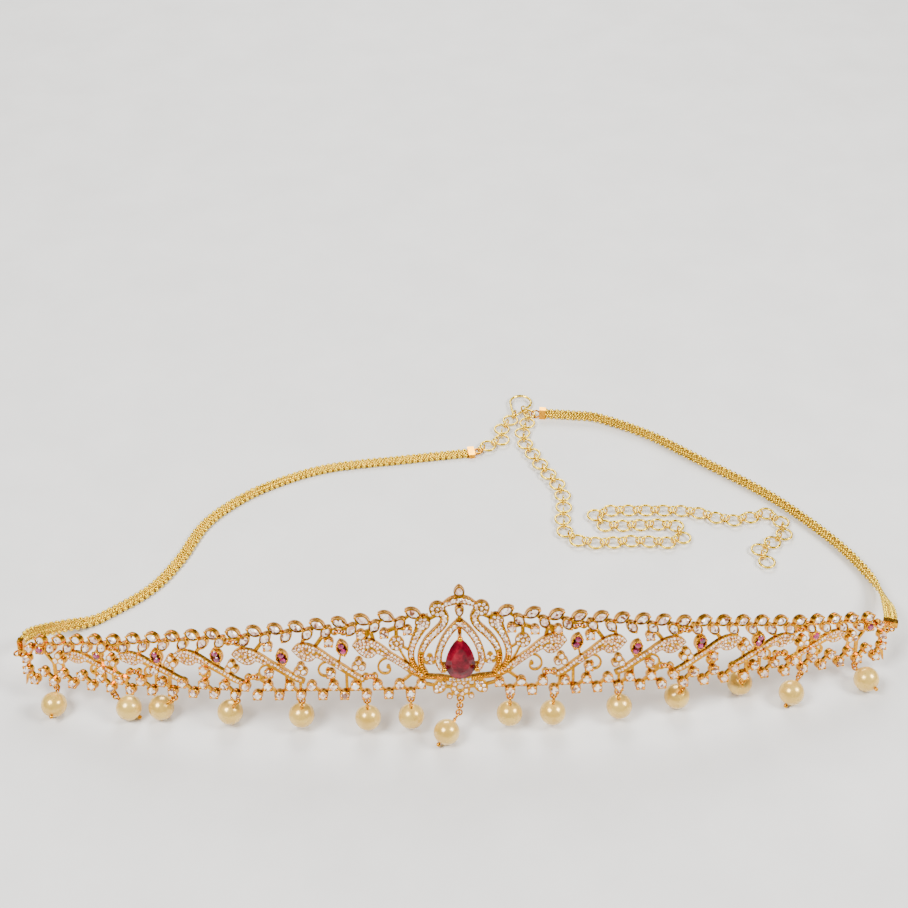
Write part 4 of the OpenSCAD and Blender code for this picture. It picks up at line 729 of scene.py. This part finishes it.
# Lotus: rows of small stones on its arch and on the upper necks, ribs below them. Columns: along, up, width
lotus = {
    "swanInner": (
        (5.6, 26.4, 3.1), (4.4, 24.4, 2.8), (5.2, 22, 2.6), (7.2, 19.9, 2.5),
        (9.5, 17.4, 2.5), (11.2, 14.4, 2.2), (11.9, 11.4, 2), (11.6, 8.8, 1.8), (10.4, 6.4, 1.6)),
    "swanOuter": (
        (10.9, 23.4, 4.2), (11.6, 21.4, 3.5), (12.8, 19, 2.7), (14, 16.3, 2.3),
        (14.7, 13.5, 2.1), (14.5, 10.8, 1.9), (13.4, 8.2, 1.7), (11.8, 6.2, 1.6)),
    "arch": (
        (0, 22.7, 2.6), (1.6, 21.4, 2.3), (3.4, 19.3, 2.3), (5, 16.6, 2.3),
        (6.2, 13.4, 2.3), (6.6, 10.6, 2.3), (5.9, 8.3, 2), (5.2, 7, 1.5)),
    "base": ((0, 4.1, 1.7), (3, 4.2, 1.7), (5.8, 4.8, 1.6), (9, 5.1, 1.5), (12, 5.7, 1.5), (15, 7, 1.6)),
    "cap": ((0, 30.1, 2.8), (2, 29.8, 2.6), (3.8, 29, 1.9), (5.4, 28, 0.9)),
    # run, lowest height that still has stones, their share of the width
    "rows": (("swanInner", 13.2, 0.62), ("swanOuter", 12.2, 0.62), ("arch", 6.5, 0.66), ("cap", 0, 0.66)),
    "ribs": (("swanInner", 13.2), ("swanOuter", 12.2), ("base", 99)),
    "steps": 4,
    # spacing of the stones, how near the middle line one is set only once, and the largest size
    "stoneStep": 1.28,
    "middle": 0.4,
    "largest": 1.6,
    "beadInset": 0.24,
    # spacing of the ribs, length as a share of it, width as a share of the run's, rise and place
    "rib": 0.84,
    "ribLength": 0.86,
    "ribShare": 0.86,
    "ribRise": 1.1,
    "ribHeight": 1.72,
    # end of the stones under the ruby, their size and spacing
    "underRuby": (3.4, 1.05, 1.2),
    # stones around a middle one: along, up, ring radius, count, size, height, with a middle stone
    "rosettes": (
        (6.6, 27.2, 1.5, 7, 1.12, 1.68, True),
        (11, 22.9, 1.45, 7, 1.12, 1.68, True),
        (19, 16.3, 1.6, 7, 1.25, 1.1, True),
        (3.3, -1.7, 0, 0, 1.3, 1.1, True),
        (9.1, 10.6, 0.95, 3, 1.5, 1.1, False)),
    "baseRing": (0, 1.2, 2.05, 8, 1.4, 1.1, False),
    # its middle, tilt, stones along and across it, their size and height
    "baseLeaf": (
        6.2, 1.6, -50, ((-1.75, 0), (-0.6, 0.75), (-0.6, -0.75), (0.6, 0.75), (0.6, -0.75), (1.75, 0)),
        1.2, 1.1),
}


# (place, direction, width) at an even spacing along a run
def alongRun(name, spacing):
    line = smoothLine(lotus[name], lotus["steps"])
    for point, way in evenPoints(line, spacing):
        near = min(line, key=lambda q: (Vector(q[:2]) - point).length)
        yield point, way, near[2]


def heading(way):
    return math.degrees(math.atan2(way.y, way.x))


def rosette(side, spot):
    s, v, radius, count, size, height, middle = spot
    if middle:
        yield onStrip(side, 0, s, v, height, pave["turn"]) + (size,)
    for i in range(count):
        place = aside(s, v, 360 * (i + 0.25) / count, radius)
        yield onStrip(side, 0, *place, height, pave["turn"]) + (size,)


ribs = []
for side in (-1, 1):
    for name, lowest, share in lotus["rows"]:
        for point, way, width in alongRun(name, lotus["stoneStep"]):
            if point.y > lowest and (side > 0 or point.x > lotus["middle"]):
                size = min(share * width, lotus["largest"])
                stones.append(onStrip(side, 0, point.x, point.y, pave["height"], heading(way)) + (size,))
                for edge in (-1, 1):
                    out = edge * (width / 2 - lotus["beadInset"])
                    p = point + way * lotus["stoneStep"] / 2 + out * Vector((-way.y, way.x))
                    beads.append(onStrip(side, 0, p.x, p.y, pave["beadHeight"]) + (pave["bead"],))
    for name, highest in lotus["ribs"]:
        for point, way, width in alongRun(name, lotus["rib"]):
            if point.y < highest and not (name == "base" and point.x < lotus["underRuby"][0]):
                size = (lotus["rib"] * lotus["ribLength"], lotus["ribShare"] * width, lotus["ribRise"])
                ribs.append(onStrip(side, 0, point.x, point.y, lotus["ribHeight"], heading(way)) + (size,))
    end, size, step = lotus["underRuby"]
    for point, way, width in alongRun("base", step):
        if point.x < end:
            stones.append(onStrip(side, 0, point.x, point.y, pave["height"]) + (size,))
    for spot in lotus["rosettes"]:
        stones += rosette(side, spot)
    s, v, tilt, reaches, size, height = lotus["baseLeaf"]
    for x, y in reaches:
        stones.append(onStrip(side, 0, *aside(s, v, tilt, x, y), height) + (size,))
stones += rosette(1, lotus["baseRing"])
setPieces("pave_stones", "pave", stones, paveStonePaintedGlints, "clear_stone")
setPieces("pave_beads", "ball", beads, goldPlate, "gold", True)
setPieces("lotus_ribs", "ball", ribs, goldPlate, "gold", True)
print("lotus dressed")

# Wire wound on each pin between its eye and its pearl
wraps = {
    "pearlRadius": 4.0,
    # outer size of a pin's eye, radius of its wire, and how deep its far end is sought
    "eyeOuter": 2.56,
    "eyeWire": 0.28,
    "tip": 0.1,
    "gap": 0.12,
    "radius": 0.42,
    "pitch": 0.4,
    "wire": 0.2,
    "points": 36,
    "sides": 8,
    "count": 15,
}


# Ends of the stretch of one pin that the wrap covers
def pinStretch(i):
    low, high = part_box(f"pearl_{i}")
    middle = (low + high) / 2
    points = [v.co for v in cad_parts[f"head_pin_{i}"].data.vertices]
    reach = max((p - middle).length for p in points)
    far = [p for p in points if (p - middle).length > reach - wraps["tip"] * mm]
    away = (sum(far, Vector()) / len(far) - middle).normalized()
    start = (wraps["pearlRadius"] + wraps["gap"] / 2) * mm
    end = reach - (wraps["eyeOuter"] - wraps["eyeWire"] + wraps["gap"]) * mm
    return middle + away * start, middle + away * max(end, start + wraps["pitch"] * mm)


ends = [end for i in range(1, wraps["count"] + 1) for end in pinStretch(i)]
path = newObject("pin_stretches", ends, [], [(2 * i, 2 * i + 1) for i in range(wraps["count"])])
keep(growPiece("pin_wraps", path, coilTree(wraps["points"], wraps["sides"]), {
    "Radius": wraps["radius"] * mm, "Pitch": wraps["pitch"] * mm, "Wire": wraps["wire"] * mm,
    "Finish": goldPlate}), "gold")

# Woven bands, each on the route of its solid. Columns: x, y, z, roll (0 flat, 90 on edge)
band = {
    "width": 4.4,
    "thickness": 1.6,
    "floorGap": 0.05,
    # each band starts at an eye of the end panel, with a ring and a cap that point to its aim
    "endEye": (138.6, 8, 0.5),
    "ringRadius": 1.3,
    "capAims": {-1: (-137.27, 28.86, 11.6), 1: (140.17, 29.46, 10.7)},
    # from the ring to where the band leaves the cap, and its first points from there
    "capReach": 5.16,
    "leadIn": (0, 1, 3),
    "steps": 5,
    "columns": 5,
    "columnWidth": 0.87,
    "pitch": 1.05,
    "slant": 38,
    # links: along, across, up
    "link": (1.85, 0.66, 1.5),
    "edgeLink": (1.75, 1.05, 1.5),
    "linkSides": (10, 6),
    # width and height of the dark slab inside, which paints the shade between the links
    "core": (3.3, 0.7),
    "startRolls": {-1: 90, 1: 0},
}
flatZ = band["thickness"] / 2 + band["floorGap"]
edgeZ = band["width"] / 2 + band["floorGap"]
routes = {
    -1: (
        (-136.2, 32.6, 9.9, 80), (-133, 36.9, 6.9, 60), (-127, 41.5, 3.8, 30), (-117, 47.3, flatZ, 0),
        (-102, 59.6, flatZ, 0), (-93.5, 73.5, flatZ, 0), (-86.4, 90.6, flatZ, 0),
        (-75, 103.2, flatZ, 0), (-61, 112.3, flatZ, 0), (-43, 119.3, flatZ, 0),
        (-17.3, 122.7, flatZ, 0), (-4.6, 124.3, flatZ, 0), (7.9, 125.7, flatZ, 0)),
    1: (
        (142, 37.5, 7, 20), (142.6, 46, 4, 60), (141, 56, edgeZ, 90), (134.2, 70.6, edgeZ, 90),
        (123.5, 86.3, edgeZ, 90), (112, 99.8, edgeZ, 90), (93, 117, edgeZ, 90),
        (76.4, 131.8, edgeZ, 90), (58.8, 142.4, edgeZ, 90), (49, 144.5, edgeZ, 90),
        (38.5, 145.95, edgeZ, 90)),
}


# Route of a band in millimetres of the frame, with its roll
def bandLine(side):
    shift = Vector((strip["beltMid"][0], strip["beltMid"][1], 0))
    matrix = panels[(side, len(strip["hinges"]) - 1)]
    s, v, height = band["endEye"]
    hole = matrix @ Vector((s, v, height)) / mm
    beside = matrix @ Vector((s + 1, v, height)) / mm
    ring = hole + band["ringRadius"] * (beside - hole)
    aim = (Vector(band["capAims"][side]) - shift - ring).normalized()
    roll = band["startRolls"][side]
    starts = [ring + (band["capReach"] + more) * aim for more in band["leadIn"]]
    points = [(*p, roll) for p in starts]
    points += [(p[0] - shift.x, p[1] - shift.y, p[2], p[3]) for p in routes[side]]
    line = []
    for x, y, z, roll in smoothLine(points, band["steps"]):
        a = math.radians(roll)
        half = abs(math.sin(a)) * band["width"] / 2 + abs(math.cos(a)) * band["thickness"] / 2
        line.append((Vector((x, y, max(z, half + band["floorGap"]))), a))
    return line


# Directions across and up at every point of a band's line
def bandAxes(line):
    for i, (point, roll) in enumerate(line):
        way = (line[min(i + 1, len(line) - 1)][0] - line[max(i - 1, 0)][0]).normalized()
        level = Vector((-way.y, way.x, 0)).normalized()
        across = math.cos(roll) * level + math.sin(roll) * way.cross(level)
        yield point * mm, across, way.cross(across)


weave = weaveTree(band["columns"])
for side, name in ((-1, "left_band"), (1, "right_band")):
    axes = list(bandAxes(bandLine(side)))
    path = newObject(name + "_path", [a[0] for a in axes], [], [(i, i + 1) for i in range(len(axes) - 1)])
    setVectors(path.data, "across", [a[1] for a in axes])
    setVectors(path.data, "up", [a[2] for a in axes])
    links = [ballTemplate("link", *band["linkSides"], [c * mm for c in band[key]])
             for key in ("link", "edgeLink")]
    keep(growPiece(name + "_weave", path, weave, {
        "Link": links[0], "Edge Link": links[1], "Pitch": band["pitch"] * mm,
        "Column Width": band["columnWidth"] * mm, "Slant": math.radians(band["slant"]),
        "Finish": lemonGold}), "pale_gold", name)
    for link in links:
        bpy.data.objects.remove(link)
    # A dark slab through each band: painted shade seen between its links
    width, thick = (c * mm / 2 for c in band["core"])
    corners = [point + a * width * across + b * thick * up for point, across, up in axes
               for a, b in ((1, -1), (1, 1), (-1, 1), (-1, -1))]
    faces = [(4 * i + j, 4 * i + 4 + j, 4 * i + 4 + (j + 1) % 4, 4 * i + (j + 1) % 4)
             for i in range(len(axes) - 1) for j in range(4)]
    faces += [(0, 1, 2, 3), tuple(len(corners) - 1 - j for j in range(4))]
    core = newObject(name + "_core", corners, faces)
    core.data.materials.append(weaveShadeGold)
    keep(core, "pale_gold")
for template in templates.values():
    bpy.data.objects.remove(template)
print("bands woven")

# Board, lights and camera
studio = {
    "floor": 3.0,
    "camera": (-0.0161, -0.38246, 0.37817),
    "tilt": 49,
    "pan": -2.14,
    "lens": 61.45,
    "world": 0.16,
    # place, aim, size, watts
    "lights": (
        ((-0.5, -0.35, 0.8), (0, 0, 0.01), 0.4, 15),
        ((0.6, -0.2, 0.6), (0, 0, 0.01), 0.3, 9.5),
        ((0.0, 0.8, 0.7), (0, 0, 0.01), 0.5, 12)),
}
half = studio["floor"] / 2
corners = [(-half, -half, 0), (half, -half, 0), (half, half, 0), (-half, half, 0)]
floor = newObject("board", corners, [(0, 1, 2, 3)])
floor.data.materials.append(paleBoard)
for i, (place, aim, size, power) in enumerate(studio["lights"]):
    light = bpy.data.lights.new(f"softbox_{i}", "AREA")
    light.size = size
    light.energy = power
    lamp = bpy.data.objects.new(f"softbox_{i}", light)
    lamp.location = place
    lamp.rotation_euler = (Vector(aim) - Vector(place)).to_track_quat("-Z", "Y").to_euler()
    bpy.context.scene.collection.objects.link(lamp)
world = bpy.data.worlds.new("studio")
world.use_nodes = True
world.node_tree.nodes["Background"].inputs["Color"].default_value = (1, 1, 1, 1)
world.node_tree.nodes["Background"].inputs["Strength"].default_value = studio["world"]
bpy.context.scene.world = world
camera = bpy.data.objects.new("camera", bpy.data.cameras.new("camera"))
camera.data.lens = studio["lens"]
camera.location = studio["camera"]
camera.rotation_euler = (math.radians(studio["tilt"]), 0, math.radians(studio["pan"]))
bpy.context.scene.collection.objects.link(camera)
bpy.context.scene.camera = camera
print("studio set")
